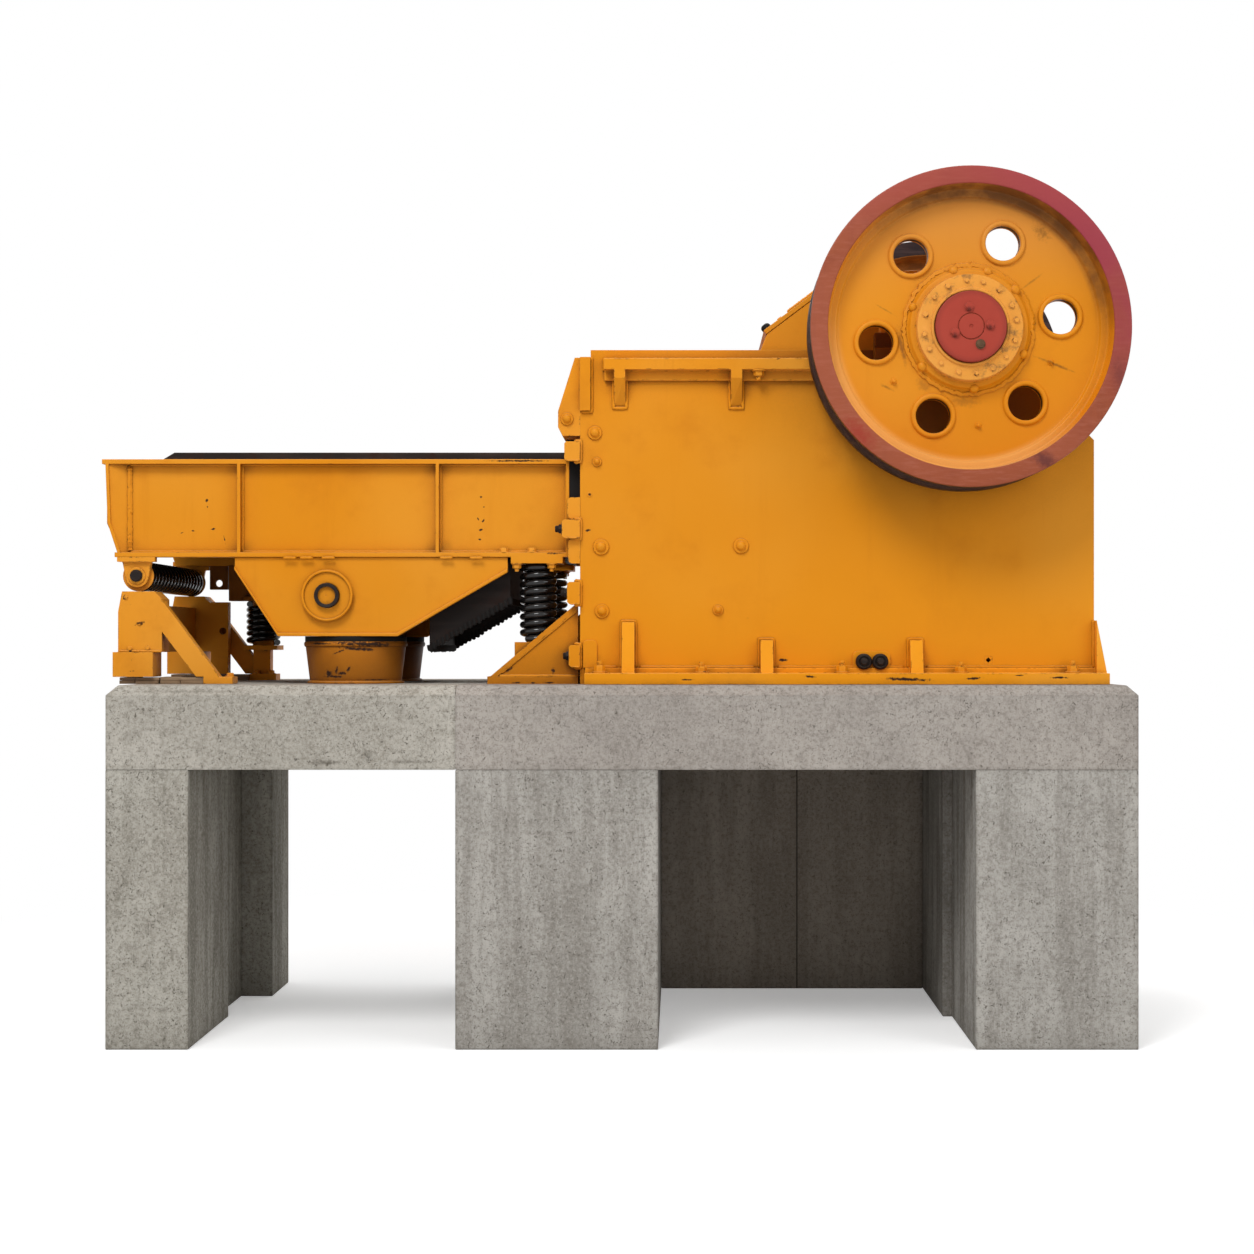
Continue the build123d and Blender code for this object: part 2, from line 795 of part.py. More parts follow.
# Feeder trough: side walls with flanges, stiffeners, spring pads and lugs
front_spring_x = feeder_end - front_spring_from_end
front_spring_y = flange_edge - front_spring_inset
far_spring_x = feeder_rear + far_spring_from_rear
far_spring_y = web_back + stiffener_thickness
far_spring_foot = slab_top + packing_thickness + far_spring_rise + far_seat_thickness
far_spring_top = far_spring_foot + far_spring_height


def lug():
    """Plate that hangs from the flange and holds one end of the rear pin."""
    top = feeder_bottom - lug_pad_thickness
    left = (rear_pin_x - lug_width / 2, top)
    right = (rear_pin_x + lug_width / 2, top)
    centre = (rear_pin_x, rear_pin_z)
    outline = [left, tangent_point(left, centre, lug_radius, -1), centre,
               tangent_point(right, centre, lug_radius, 1), right]
    outer = -web_back - lug_thickness
    plate = across(outline, outer, -web_back) + rod(*centre, lug_radius, outer, -web_back)
    pad_half = lug_pad_width / 2
    pad = block(rear_pin_x - pad_half, rear_pin_x + pad_half, -flange_edge, -web_back, top, feeder_bottom)
    return plate + pad - rod(*centre, rear_pin_radius + seat_gap, outer, -web_back)


def feeder_side():
    cut_z = feeder_bottom + rear_cut_z
    top_x = feeder_rear + wing_inset
    step_x = feeder_rear + rear_cut_step
    foot_x = feeder_rear + rear_cut_x
    flange_start = feeder_rear - top_flange_overhang
    foot_start = foot_x - bottom_flange_overhang
    lip = stiffener_thickness
    under_flange = feeder_top - feeder_flange_thickness
    over_flange = feeder_bottom + feeder_flange_thickness
    web = across([(top_x, feeder_top), (step_x, cut_z), (foot_x, feeder_bottom),
                  (feeder_end, feeder_bottom), (feeder_end, feeder_top)], -web_back, -web_face)
    body = web + block(flange_start, feeder_end, -flange_edge, -web_face, under_flange, feeder_top)
    body = body + block(foot_start, feeder_end, -flange_edge, -web_back, feeder_bottom, over_flange)
    body = body + block(feeder_end - end_post_width, feeder_end, -flange_edge, -web_back,
                        feeder_bottom, feeder_top)
    body = body + across([(top_x, feeder_top), (step_x, cut_z), (foot_x, feeder_bottom),
                          (foot_x + lip, feeder_bottom), (step_x + lip, cut_z),
                          (top_x + lip, feeder_top)], -flange_edge, -web_back)
    for place in feeder_stiffeners:
        x = feeder_rear + place
        body = body + block(x - lip / 2, x + lip / 2, -flange_edge, -web_back, over_flange, under_flange)
    pad_half = spring_pad_length / 2
    pad_inner = front_spring_y - spring_radius
    body = body + block(front_spring_x - pad_half, front_spring_x + pad_half, -flange_edge, -pad_inner,
                        feeder_bottom - spring_pad_thickness, feeder_bottom)
    return body


def far_hanger():
    """Hanger for the far rear spring and a lug beside it, below the far flange."""
    half = spring_radius / 2
    post = block(far_spring_x - far_hanger_reach, far_spring_x + half, far_spring_y - half, flange_edge,
                 far_spring_top, feeder_bottom)
    plate = block(far_spring_x - spring_radius, far_spring_x + spring_radius, far_spring_y - spring_radius,
                  far_spring_y + spring_radius, far_spring_top, far_spring_top + lug_pad_thickness)
    left = feeder_rear + far_lug_from_rear
    tab = block(left, left + far_lug_width, web_back, web_back + lug_thickness,
                feeder_bottom - far_lug_height, feeder_bottom)
    hole = rod(left + far_lug_width / 2, feeder_bottom - far_lug_hole_drop, rear_post_hole_radius, web_back,
               web_back + lug_thickness)
    return Compound([post + plate, tab - hole])


def liner():
    left = feeder_rear + liner_start
    right = feeder_end - end_post_width
    top = feeder_top + liner_rise
    outline = [(left, pan_top), (left, feeder_top), (left + liner_ramp, top), (right, top), (right, pan_top)]
    return across(outline, -web_face, -web_face + liner_thickness)


save(feeder_side(), "near_feeder_side")
save(far(feeder_side()), "far_feeder_side")
save(Compound([lug(), far(lug())]), "rear_lugs")
save(far_hanger(), "far_spring_hanger")
save(Compound([liner(), far(liner())]), "feeder_liners")
pan_start = feeder_rear + rear_plate_inset
save(block(pan_start, pan_end, -web_face, web_face, pan_bottom, pan_top), "feeder_pan")
rear_plate = block(pan_start, pan_start + rear_plate_thickness, -web_face, web_face, pan_top, feeder_top)
save(rear_plate, "feeder_rear_plate")


def grizzly():
    beam_top = pan_top - grizzly_bar_height
    beam_bottom = feeder_bottom
    first_beam = block(pan_end, pan_end + grizzly_beam, -web_face, web_face, beam_bottom, beam_top)
    last = feeder_end - end_post_width
    last_beam = block(last - grizzly_beam, last, -web_face, web_face, beam_bottom, beam_top)
    body = first_beam + last_beam
    pitch = 2 * web_face / grizzly_bar_count
    half = grizzly_bar_width / 2
    for index in range(grizzly_bar_count):
        middle = -web_face + (index + 0.5) * pitch
        section = Plane.YZ * Polygon((middle - half, pan_top), (middle + half, pan_top),
                                     (middle + half / 2, beam_top), (middle - half / 2, beam_top),
                                     align=None)
        body = body + Pos(pan_end, 0, 0) * extrude(section, amount=feeder_end - pan_end, dir=(1, 0, 0))
    return body


def grizzly_chute():
    right = feeder_end - chute_from_end
    left = right - chute_length
    top = pan_top - grizzly_bar_height
    low = feeder_bottom - chute_drop
    high = low + chute_length * math.tan(math.radians(chute_slope))
    outline = [(left, top), (left, low), (right, high), (right, top)]
    shell = across(outline, -web_face, web_face)
    inner = block(left + chute_wall, right - chute_wall, -web_face + chute_wall, web_face - chute_wall,
                  low, top)
    return shell - inner


save(grizzly(), "grizzly_bars")
save(grizzly_chute(), "grizzly_chute")


# Exciter: two plates below the trough with a tube between them
def exciter_plate():
    left = feeder_rear + exciter_start
    right = left + exciter_length
    toe_left = left + exciter_toe_start
    toe_right = toe_left + exciter_toe_length
    outer = -exciter_face - exciter_plate_thickness
    outline = [(left, feeder_bottom), (left, feeder_bottom - exciter_band), (toe_left, exciter_toe),
               (toe_right, exciter_toe), (right, feeder_bottom - exciter_rise), (right, feeder_bottom)]
    body = across(outline, outer, -exciter_face)
    raised = [(x, z + exciter_lip_height) for x, z in outline[1:-1]]
    lip = across(outline[1:-1] + raised[::-1], outer - exciter_lip_proud, outer)
    body = body + lip
    boss = rod(exciter_x, exciter_z, exciter_boss_radius, outer - exciter_boss_height, outer)
    bore = rod(exciter_x, exciter_z, exciter_bore_radius, outer - exciter_boss_height, -exciter_face)
    return body + boss - bore


exciter_shaft_end = exciter_face + exciter_plate_thickness + exciter_boss_height + exciter_shaft_proud
tube = rod(exciter_x, exciter_z, exciter_tube_radius, -exciter_face, exciter_face)
tube = tube + rod(exciter_x, exciter_z, exciter_shaft_radius, -exciter_shaft_end, exciter_shaft_end)
save(exciter_plate(), "near_exciter_plate")
save(far(exciter_plate()), "far_exciter_plate")
save(tube, "exciter_tube")

# Pot-shaped stands with a rubber buffer each, below the exciter plates
buffer_x = feeder_rear + buffer_from_rear
pot_top = exciter_toe - buffer_pad_thickness
pots = []
pads = []
for side in (-1, 1):
    y = side * (exciter_face - buffer_inset)
    pot = Cone(buffer_bottom_radius, buffer_top_radius, pot_top - slab_top)
    pots.append(Pos(buffer_x, y, (pot_top + slab_top) / 2) * pot)
    pads.append(upright(buffer_x, y, pot_top, exciter_toe, buffer_top_radius))
save(Compound(pots), "buffer_stands")
save(Compound(pads), "buffer_pads")


# Springs and their stands
def coil(x, y, z0, z1):
    tube = upright(x, y, z0, z1, spring_radius)
    return tube - upright(x, y, z0, z1, spring_radius - spring_wire)


front_seat = slab_top + front_seat_height
front_pad = feeder_bottom - spring_pad_thickness
springs = [coil(front_spring_x, side * front_spring_y, front_seat, front_pad) for side in (-1, 1)]
springs.append(coil(far_spring_x, far_spring_y, far_spring_foot, far_spring_top))
save(Compound(springs), "coil_springs")


def front_stand():
    right = crusher_front - front_stand_gap
    left = right - front_stand_length
    front = -flange_edge - front_stand_proud
    base_top = slab_top + stand_base_thickness
    half_length = front_seat_length / 2
    half_width = front_seat_width / 2
    base = block(left, right, front, front + front_stand_depth, slab_top, base_top)
    seat = block(front_spring_x - half_length, front_spring_x + half_length,
                 -front_spring_y - half_width, -front_spring_y + half_width, base_top, front_seat)
    foot = left + brace_foot_inset
    brace_top = base_top + brace_height
    web_front = front + brace_web_setback
    web = across([(foot, base_top), (right, base_top), (right, brace_top)], web_front,
                 web_front + brace_web_thickness)
    flange = across([(foot - brace_flange_thickness, base_top), (foot, base_top), (right, brace_top),
                     (right, brace_top + brace_flange_thickness)], front, front + brace_flange_width)
    return base + seat + web + flange


save(Compound([front_stand(), far(front_stand())]), "front_stands")
save(rod(rear_pin_x, rear_pin_z, rear_pin_radius, -flange_edge, flange_edge), "rear_pin")
coil_end = web_back - seat_gap
rear_coil = rod(rear_pin_x, rear_pin_z, rear_coil_radius, -coil_end, coil_end)
rear_coil = rear_coil - rod(rear_pin_x, rear_pin_z, rear_coil_bore, -coil_end, coil_end)
save(rear_coil, "rear_coil")

foot_bottom = slab_top + packing_thickness
foot_top = foot_bottom + rear_foot_height
stand_x = rear_pin_x + rear_stand_offset
stand_left = stand_x - rear_stand_length / 2
stand_right = stand_x + rear_stand_length / 2
stand_inner = flange_edge - rear_stand_depth
brace_foot = stand_right + rear_brace_reach


def rear_stand(post_width):
    """Stand with a leaning outer edge, and a post inside its brace where post_width is more than 0."""
    corner = rear_stand_top - rear_stand_corner
    lean_start = foot_top + (rear_stand_top - foot_top) * 2 / 3
    panel = across([(stand_left, foot_top), (stand_left, lean_start),
                    (stand_left + rear_stand_lean, rear_stand_top),
                    (stand_right - rear_stand_corner, rear_stand_top), (stand_right, corner),
                    (stand_right, foot_top)], -flange_edge, -stand_inner)
    foot_left = stand_x - rear_foot_offset
    foot = block(foot_left, foot_left + rear_foot_length, -stand_inner - rear_foot_depth, -stand_inner,
                 foot_bottom, foot_top)
    brace_top = rear_stand_top - rear_brace_setback
    brace = across([(stand_right, brace_top), (stand_right, brace_top - rear_brace_depth),
                    (brace_foot - rear_brace_run, foot_bottom), (brace_foot, foot_bottom)],
                   -flange_edge, -flange_edge + rear_brace_width)
    plate_end = brace_foot + rear_brace_width
    plate = block(plate_end - rear_foot_plate_length, plate_end, -flange_edge,
                  -flange_edge + 2 * rear_brace_width, slab_top, foot_bottom)
    body = panel + foot + brace + plate
    if post_width:
        post_outer = -stand_inner - rear_brace_width
        post = block(stand_right, stand_right + post_width, post_outer, -stand_inner, foot_bottom,
                     rear_stand_top - rear_post_setback)
        hole = rod(stand_right + rear_post_hole_from_stand, foot_bottom + rear_post_hole_height,
                   rear_post_hole_radius, post_outer, -stand_inner)
        body = body + post - hole
    return body


def far_spring_seat():
    """Seat for the far rear spring, on the far stand's foot plate."""
    half = spring_radius / 2
    seat = block(far_spring_x - spring_radius, far_spring_x + spring_radius, far_spring_y - spring_radius,
                 far_spring_y + spring_radius, far_spring_foot - far_seat_thickness, far_spring_foot)
    post = block(far_spring_x - half, far_spring_x + half, far_spring_y - half, flange_edge, foot_bottom,
                 far_spring_foot - far_seat_thickness)
    return seat + post


save(rear_stand(0), "near_rear_stand")
save(far(rear_stand(rear_post_width)) + far_spring_seat(), "far_rear_stand")
cross_plate = block(stand_x, stand_x + rear_cross_plate, -stand_inner, stand_inner, foot_top,
                    rear_stand_top - rear_brace_width)
save(cross_plate, "rear_stand_cross_plate")
packing_left = stand_left
packing_right = brace_foot + rear_brace_width - rear_foot_plate_length
packing = block(packing_left, packing_right, -flange_edge, -flange_edge + packing_depth, slab_top,
                foot_bottom)
save(Compound([packing, far(packing)]), "wood_packing")
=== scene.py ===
# %% [markdown]
# Jaw crusher with its vibrating feeder, on a concrete plinth.
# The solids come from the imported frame, at their real size. This file dresses them: painted steel, worn
# edges, weld beads, bolts, springs with real turns and cast flywheels. Everything is in metres, in the
# frame's own axes: X runs from the feeder to the crusher, Y runs across the machine, Z is up.

# %% Load the frame
import json
import math
import random

import bmesh
import bpy
from mathutils import Matrix, Vector


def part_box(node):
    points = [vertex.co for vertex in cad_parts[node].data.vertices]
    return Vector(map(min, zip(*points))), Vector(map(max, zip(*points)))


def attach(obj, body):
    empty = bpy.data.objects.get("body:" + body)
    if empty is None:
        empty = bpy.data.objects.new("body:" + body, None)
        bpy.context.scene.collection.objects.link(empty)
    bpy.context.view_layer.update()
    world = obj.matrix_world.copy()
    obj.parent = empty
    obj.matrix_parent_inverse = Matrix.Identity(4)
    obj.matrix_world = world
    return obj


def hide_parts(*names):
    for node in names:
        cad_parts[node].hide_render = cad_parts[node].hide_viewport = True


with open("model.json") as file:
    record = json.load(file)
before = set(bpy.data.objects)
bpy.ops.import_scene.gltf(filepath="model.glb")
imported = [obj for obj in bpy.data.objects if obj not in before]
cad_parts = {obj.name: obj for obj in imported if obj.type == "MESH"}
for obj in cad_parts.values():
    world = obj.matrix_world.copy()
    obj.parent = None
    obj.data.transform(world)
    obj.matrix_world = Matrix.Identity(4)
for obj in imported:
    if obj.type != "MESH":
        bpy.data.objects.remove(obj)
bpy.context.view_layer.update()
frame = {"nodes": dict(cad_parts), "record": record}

nodes = frame["nodes"]
print("solids in the frame:", len(nodes))

# %% [markdown]
# The camera stands in front of the machine, a little below the top of the plinth. It could be turned to face
# the middle of the object, but then the legs would lean in the picture. A level camera keeps them upright,
# and because the photograph's centre of perspective lies right of its middle, the lens is shifted a
# little.

# %% Camera
image_width = 1254
focal_pixels = 2111
sensor_width = 36
perspective_centre = (680, 645)
camera_place = (0.261, -10.45, 1.822)

camera_data = bpy.data.cameras.new("camera")
camera_data.sensor_width = sensor_width
camera_data.lens = focal_pixels / image_width * sensor_width
camera_data.shift_x = (image_width / 2 - perspective_centre[0]) / image_width
camera_data.shift_y = (perspective_centre[1] - image_width / 2) / image_width
camera = bpy.data.objects.new("camera", camera_data)
camera.location = camera_place
camera.rotation_euler = (math.radians(90), 0, 0)
bpy.context.collection.objects.link(camera)
bpy.context.scene.camera = camera
bpy.context.scene.view_settings.view_transform = "Standard"
print("lens in mm:", round(camera_data.lens, 1))

# %% [markdown]
# A material is a small graph of nodes. It could be drawn by hand in the shader editor, but a script keeps it
# with the shape. These helpers make a graph read like arithmetic: one adds a node and plugs in its inputs,
# and the others are a noise, a change of range, a product or a mix of two colours. A socket knows the tree
# that it belongs to, so a helper that is given one needs no tree.

# %% Add a node and plug it in
def linear(colour):
    """Colour in steps of 255, as a painter reads it from a photograph, turned into linear light."""
    if len(colour) == 4:
        return colour
    return (*[((value / 255 + 0.055) / 1.055) ** 2.4 if value > 10 else value / 255 / 12.92
              for value in colour], 1)


def plug(socket, value):
    if isinstance(value, bpy.types.NodeSocket):
        socket.id_data.links.new(value, socket)
    else:
        socket.default_value = linear(value) if socket.type == "RGBA" else value


def add(tree, kind, inputs=None, **settings):
    node = tree.nodes.new("ShaderNode" + kind)
    for name, value in settings.items():
        setattr(node, name, value)
    for name, value in (inputs or {}).items():
        plug(node.inputs[name], value)
    return node


print("8-bit orange in linear light:", [round(value, 3) for value in linear((220, 137, 12))])

# %% Nodes as arithmetic
def calculate(operation, first, second=0.0):
    tree = (first if isinstance(first, bpy.types.NodeSocket) else second).id_data
    return add(tree, "Math", {0: first, 1: second}, operation=operation).outputs[0]


def times(first, second):
    return calculate("MULTIPLY", first, second)


def plus(first, second):
    return calculate("ADD", first, second)


def larger(first, second):
    return calculate("MAXIMUM", first, second)


def inverse(mask):
    return calculate("SUBTRACT", 1.0, mask)


def length(vector):
    return add(vector.id_data, "VectorMath", {0: vector}, operation="LENGTH").outputs["Value"]


def spread(value, low, high, to_low=0.0, to_high=1.0):
    """The value's range from low to high, stretched smoothly to another range."""
    inputs = {"Value": value, "From Min": low, "From Max": high, "To Min": to_low, "To Max": to_high}
    return add(value.id_data, "MapRange", inputs, interpolation_type="SMOOTHSTEP").outputs["Result"]


def blend(share, first, second):
    """The first colour where share is 0 and the second where it is 1."""
    inputs = {"Factor": share, 6: first, 7: second}
    return add(share.id_data, "Mix", inputs, data_type="RGBA").outputs[2]


print("arithmetic: sums, products, the larger, lengths, ranges and blends")

# %% [markdown]
# Wear and dirt lie where a piece's form puts them: on edges, in corners, on level tops, and so do painted
# shade in corners and a painted highlight on edges. They could be painted by hand, but the machine has nearly
# a hundred pieces. A mask is a value from 0 to 1 that the surface works out for itself, so the same few masks
# serve every finish and follow a piece that changes.

# %% Masks that a surface works out for itself
def place(tree, stretch=(1, 1, 1)):
    """The object's own coordinates in metres, stretched along its axes."""
    coordinates = add(tree, "TexCoord").outputs["Object"]
    return add(tree, "Mapping", {"Vector": coordinates, "Scale": stretch}).outputs["Vector"]


def axes_of(tree, vector):
    return add(tree, "SeparateXYZ", {"Vector": vector}).outputs


def normal_of(tree):
    return axes_of(tree, add(tree, "TexCoord").outputs["Normal"])


def noise(tree, scale, stretch=(1, 1, 1), detail=5, roughness=0.6, distortion=0.0, where=None):
    inputs = {"Vector": where or place(tree, stretch), "Scale": scale, "Detail": detail,
              "Roughness": roughness, "Distortion": distortion}
    return add(tree, "TexNoise", inputs).outputs["Fac"]


def facing_up(tree):
    """1 on the level tops of the piece, 0 on its walls."""
    return spread(normal_of(tree)["Z"], 0.6, 0.95)


def edges(tree, radius):
    """1 on the outer edges of a piece, where handling takes the paint off and where a painted highlight goes.
    """
    rounded_normal = add(tree, "Bevel", {"Radius": radius}, samples=4).outputs["Normal"]
    flat_normal = add(tree, "NewGeometry").outputs["Normal"]
    agreement = add(tree, "VectorMath", {0: rounded_normal, 1: flat_normal}, operation="DOT_PRODUCT")
    return spread(agreement.outputs["Value"], 0.985, 0.86)


def crevices(tree, reach):
    """1 in corners and under ledges, where dirt stays and where painted shade goes."""
    open_share = add(tree, "AmbientOcclusion", {"Distance": reach}, samples=4).outputs["AO"]
    return spread(open_share, 0.75, 0.3)


def spot(tree, centre, half_sizes, turn=0.0, torn=1.1, soft=0.3):
    """1 inside an ellipsoid about centre, leaning by turn degrees, with a torn edge, and 0 outside it."""
    inputs = {"Vector": add(tree, "TexCoord").outputs["Object"], "Location": centre,
              "Rotation": (0, math.radians(turn), 0), "Scale": half_sizes}
    local = add(tree, "Mapping", inputs, vector_type="TEXTURE").outputs["Vector"]
    ragged = times(noise(tree, 70, detail=5, roughness=0.7), torn)
    return spread(plus(length(local), ragged), 0.85 + torn / 2, 0.85 - soft + torn / 2)


print("masks: facing up, edges, crevices, spots")

# %% Relief and surface
def bump(height, strength, depth, before=None):
    inputs = {"Height": height, "Strength": strength, "Distance": depth}
    if before is not None:
        inputs["Normal"] = before
    return add(height.id_data, "Bump", inputs).outputs["Normal"]


def new_material(name):
    material = bpy.data.materials.new(name)
    material.use_nodes = True
    material.node_tree.nodes.clear()
    return material, material.node_tree


def surface(material, colour, roughness, relief, shine, metal=0.0):
    """Ends a finish: one shader takes its colour, roughness, relief, gloss and share of metal."""
    tree = material.node_tree
    shader = add(tree, "BsdfPrincipled", {"Base Color": colour, "Roughness": roughness, "Normal": relief,
                                          "Specular IOR Level": shine, "Metallic": metal})
    add(tree, "OutputMaterial", {"Surface": shader.outputs["BSDF"]})
    return material


print("each finish ends in one shader")

# %% [markdown]
# The machine's orange is sprayed enamel that has stood outside. From far off it is almost one even colour,
# and close by it has a faint orange peel, dirt and painted shade in its corners, dust on level tops, a
# painted highlight along its edges and small dark chips where steel shows. A photograph or a painted image
# could give this, but it would fit only one piece and one size. Here it is a function of the surface itself:
# noise gives the drift and the chips, the Bevel node finds the edges and Ambient Occlusion finds the corners.
# One function makes every enamel, so orange, maroon and red differ only in their colours, their wear, their
# painted shade and their own stains.

# %% Enamel paint
bare_steel = (52, 34, 24)
corner_dirt_and_shade = (92, 50, 14)
painted_shade_brown = (84, 46, 14)
dry_dust = (190, 156, 110)


def enamel(name, colour, light, dark, wear=1.0, roughness=0.42, dusty=0.35, shade=0.0, tint=None, scars=()):
    """shade is how strongly wide sheltered places go brown, as painted shade. tint adds the piece's own
    stains, painted light and shade, and each scar is a place where the paint is off: its centre, half sizes
    and lean."""
    material, tree = new_material(name)
    patches = noise(tree, 4, detail=6)
    streaks = noise(tree, 8, (1, 1, 0.08), 6, 0.7)
    paint = blend(spread(noise(tree, 0.8, detail=2), 0.38, 0.66, 0, 0.7), colour, light)
    paint = blend(spread(patches, 0.5, 0.78, 0, 0.4), paint, dark)
    paint = blend(spread(streaks, 0.54, 0.8, 0, 0.3), paint, dark)
    # Painted shade: wide sheltered places go brown.
    if shade:
        paint = blend(times(crevices(tree, 0.5), shade), paint, painted_shade_brown)
    if tint:
        paint = tint(tree, paint)
    # Dirt and painted shade: corners go brown, in patches.
    dirt_and_shade = times(crevices(tree, 0.07), spread(patches, 0.3, 0.6, 0.25, 0.75))
    paint = blend(dirt_and_shade, paint, corner_dirt_and_shade)
    dust = times(facing_up(tree), spread(patches, 0.3, 0.7, 0.1, dusty))
    paint = blend(dust, paint, dry_dust)
    edge = edges(tree, 0.003 + 0.003 * wear)
    # Painted highlight: edges lighter. The same edge mask places the chips below.
    paint = blend(times(edge, 0.45), paint, light)
    torn = noise(tree, 26, detail=9, roughness=0.75)
    chipped = times(edge, spread(torn, 0.615 - 0.035 * wear, 0.64 - 0.02 * wear))
    rare = spread(noise(tree, 2.1, detail=3), 0.56, 0.62)
    bare = larger(chipped, times(spread(torn, 0.70 - 0.02 * wear, 0.72), rare))
    for x, y, z, half_x, half_y, half_z, turn in scars:
        bare = larger(bare, spot(tree, (x, y, z), (half_x, half_y, half_z), turn, 2.2, 0.5))
    gloss = larger(spread(patches, 0.3, 0.75, roughness, roughness + 0.14), times(dust, 1.6))
    waves = bump(noise(tree, 3.2, detail=2), 0.2, 0.010)
    peel = bump(noise(tree, 150, detail=2), 0.14, 0.0012, waves)
    return surface(material, blend(bare, paint, bare_steel), larger(gloss, times(bare, 0.8)),
                   bump(inverse(bare), 0.5, 0.0012, peel), 0.16)


print("bare steel in linear light:", [round(value, 3) for value in linear(bare_steel)])

# %% [markdown]
# Buckets and rocks have knocked the paint off in places: chips on the feeder's web, a row of dark tears under
# the lips of the buffer pots, knocks along the base and on the stands. Random chips never fall where the real
# ones are, so each is a torn spot at its own place. Spots on one face share its Y, and the tables give their
# X, Z, half width, half height and lean.

# %% Places where the paint is off
def on_face(y, half_depth, *spots):
    return [(x, y, z, half_x, half_depth, half_z, turn) for x, z, half_x, half_z, turn in spots]


plate_scars = on_face(-0.625, 0.02, (-0.160, 2.522, 0.009, 0.008, 0), (-0.169, 2.355, 0.018, 0.007, -8),
                      (0.742, 1.752, 0.030, 0.010, 0), (1.940, 2.900, 0.006, 0.030, 0))
base_knocks = on_face(-0.750, 0.02, (1.304, 1.664, 0.150, 0.011, 2), (0.860, 1.676, 0.030, 0.008, 0),
                      (1.610, 1.668, 0.050, 0.009, -4), (2.010, 1.672, 0.050, 0.007, 0),
                      (0.300, 1.662, 0.045, 0.006, 0), (1.820, 1.682, 0.030, 0.004, 0))
rail_knocks = on_face(-0.700, 0.04, (0.721, 3.150, 0.022, 0.007, -35))
front_stand_knocks = on_face(-0.590, 0.04, (-0.538, 1.706, 0.030, 0.010, -30),
                             (-0.500, 1.646, 0.030, 0.006, 0), (-0.425, 1.645, 0.014, 0.005, 0),
                             (-0.350, 1.646, 0.035, 0.005, 0))
front_stand_knocks += on_face(-0.580, 0.03, (-0.332, 1.702, 0.014, 0.018, 0))
rear_stand_knocks = on_face(-0.590, 0.02, (-2.262, 1.924, 0.030, 0.012, -12),
                            (-2.304, 1.792, 0.013, 0.008, 0), (-2.335, 2.040, 0.006, 0.010, 0))
rear_stand_knocks += on_face(-0.590, 0.03, (-2.290, 1.700, 0.022, 0.006, 0))
knocks = base_knocks + rail_knocks + front_stand_knocks + rear_stand_knocks
pot_scars = on_face(
    -0.560, 0.12, (-1.205, 1.826, 0.190, 0.017, 2), (-1.250, 1.804, 0.120, 0.012, 4),
    (-1.335, 1.790, 0.050, 0.006, -22), (-1.430, 1.828, 0.080, 0.006, 0), (-1.386, 1.688, 0.024, 0.022, 25),
    (-1.365, 1.674, 0.060, 0.008, 0), (-1.346, 1.704, 0.010, 0.026, 10), (-1.320, 1.690, 0.034, 0.012, -8),
    (-1.290, 1.708, 0.010, 0.024, 25), (-1.150, 1.658, 0.130, 0.005, 0))
feeder_scars = on_face(
    -0.546, 0.02, (-1.958, 2.502, 0.010, 0.012, 15), (-1.956, 2.470, 0.004, 0.006, 0),
    (-2.024, 2.357, 0.012, 0.005, 5), (-1.930, 2.366, 0.016, 0.007, -12), (-2.076, 2.348, 0.011, 0.003, -25),
    (-1.876, 2.318, 0.004, 0.026, -14), (-0.673, 2.516, 0.007, 0.007, 0), (-0.659, 2.470, 0.006, 0.006, 30),
    (-0.687, 2.413, 0.005, 0.013, -30), (-0.662, 2.405, 0.005, 0.012, 35), (-0.673, 2.362, 0.013, 0.008, -20),
    (-0.678, 2.317, 0.010, 0.005, 10))
feeder_scrapes = on_face(-0.590, 0.02, (-0.490, 2.682, 0.200, 0.006, 0), (-0.330, 2.250, 0.050, 0.007, 0))
print("places without paint:", len(plate_scars + knocks + pot_scars + feeder_scars + feeder_scrapes))

# %% [markdown]
# The oranges differ partly because the pieces have lived differently and partly as painted light and shade.
# The side plates take painted light low down and painted shade under the wheels, the base flanges are a
# lighter copy of the orange as painted light, the rails and stands are knocked, the feeder's web and the
# front stands take painted shade, and what stands under the feeder is a darker copy as painted shade. One
# orange with a single noise over the whole machine would be quicker, but the eye reads these steps as depth,
# so each group of pieces gets colours and a wear of its own.

# %% Orange finishes
def plate_light_and_shade(tree, paint):
    """Painted shade, browner near the wheels up high, and painted light, brighter low down."""
    height = axes_of(tree, place(tree))["Z"]
    # Painted shade from the wide occlusion, on the upper plate only.
    upper = spread(height, 2.2, 2.6, 0.10, 0.7)
    paint = blend(times(crevices(tree, 0.5), upper), paint, painted_shade_brown)
    # Painted light: a lighter orange low down.
    return blend(spread(height, 2.4, 1.75, 0, 0.6), paint, (232, 147, 14))


main_oranges = ((220, 137, 12), (227, 150, 40), (200, 117, 8))
orange_paint = enamel("orange_paint", *main_oranges)
plate_orange = enamel("plate_orange", *main_oranges, tint=plate_light_and_shade, scars=plate_scars)
# The feeder's web: real scars, and painted shade under its flanges.
scarred_shaded_orange = enamel("scarred_shaded_orange", *main_oranges, shade=0.35, scars=feeder_scars + feeder_scrapes)
worn_orange = enamel("worn_orange", (224, 140, 14), (233, 160, 58), (188, 108, 12), 2.6, 0.46, 0.55,
                     scars=knocks)
# A lighter copy of the orange, as painted light on the low base flanges.
flange_orange_painted_light = enamel("flange_orange_painted_light", (240, 154, 16), (244, 172, 66), (206, 124, 14), 2.2, 0.46, 0.4,
                       scars=knocks)
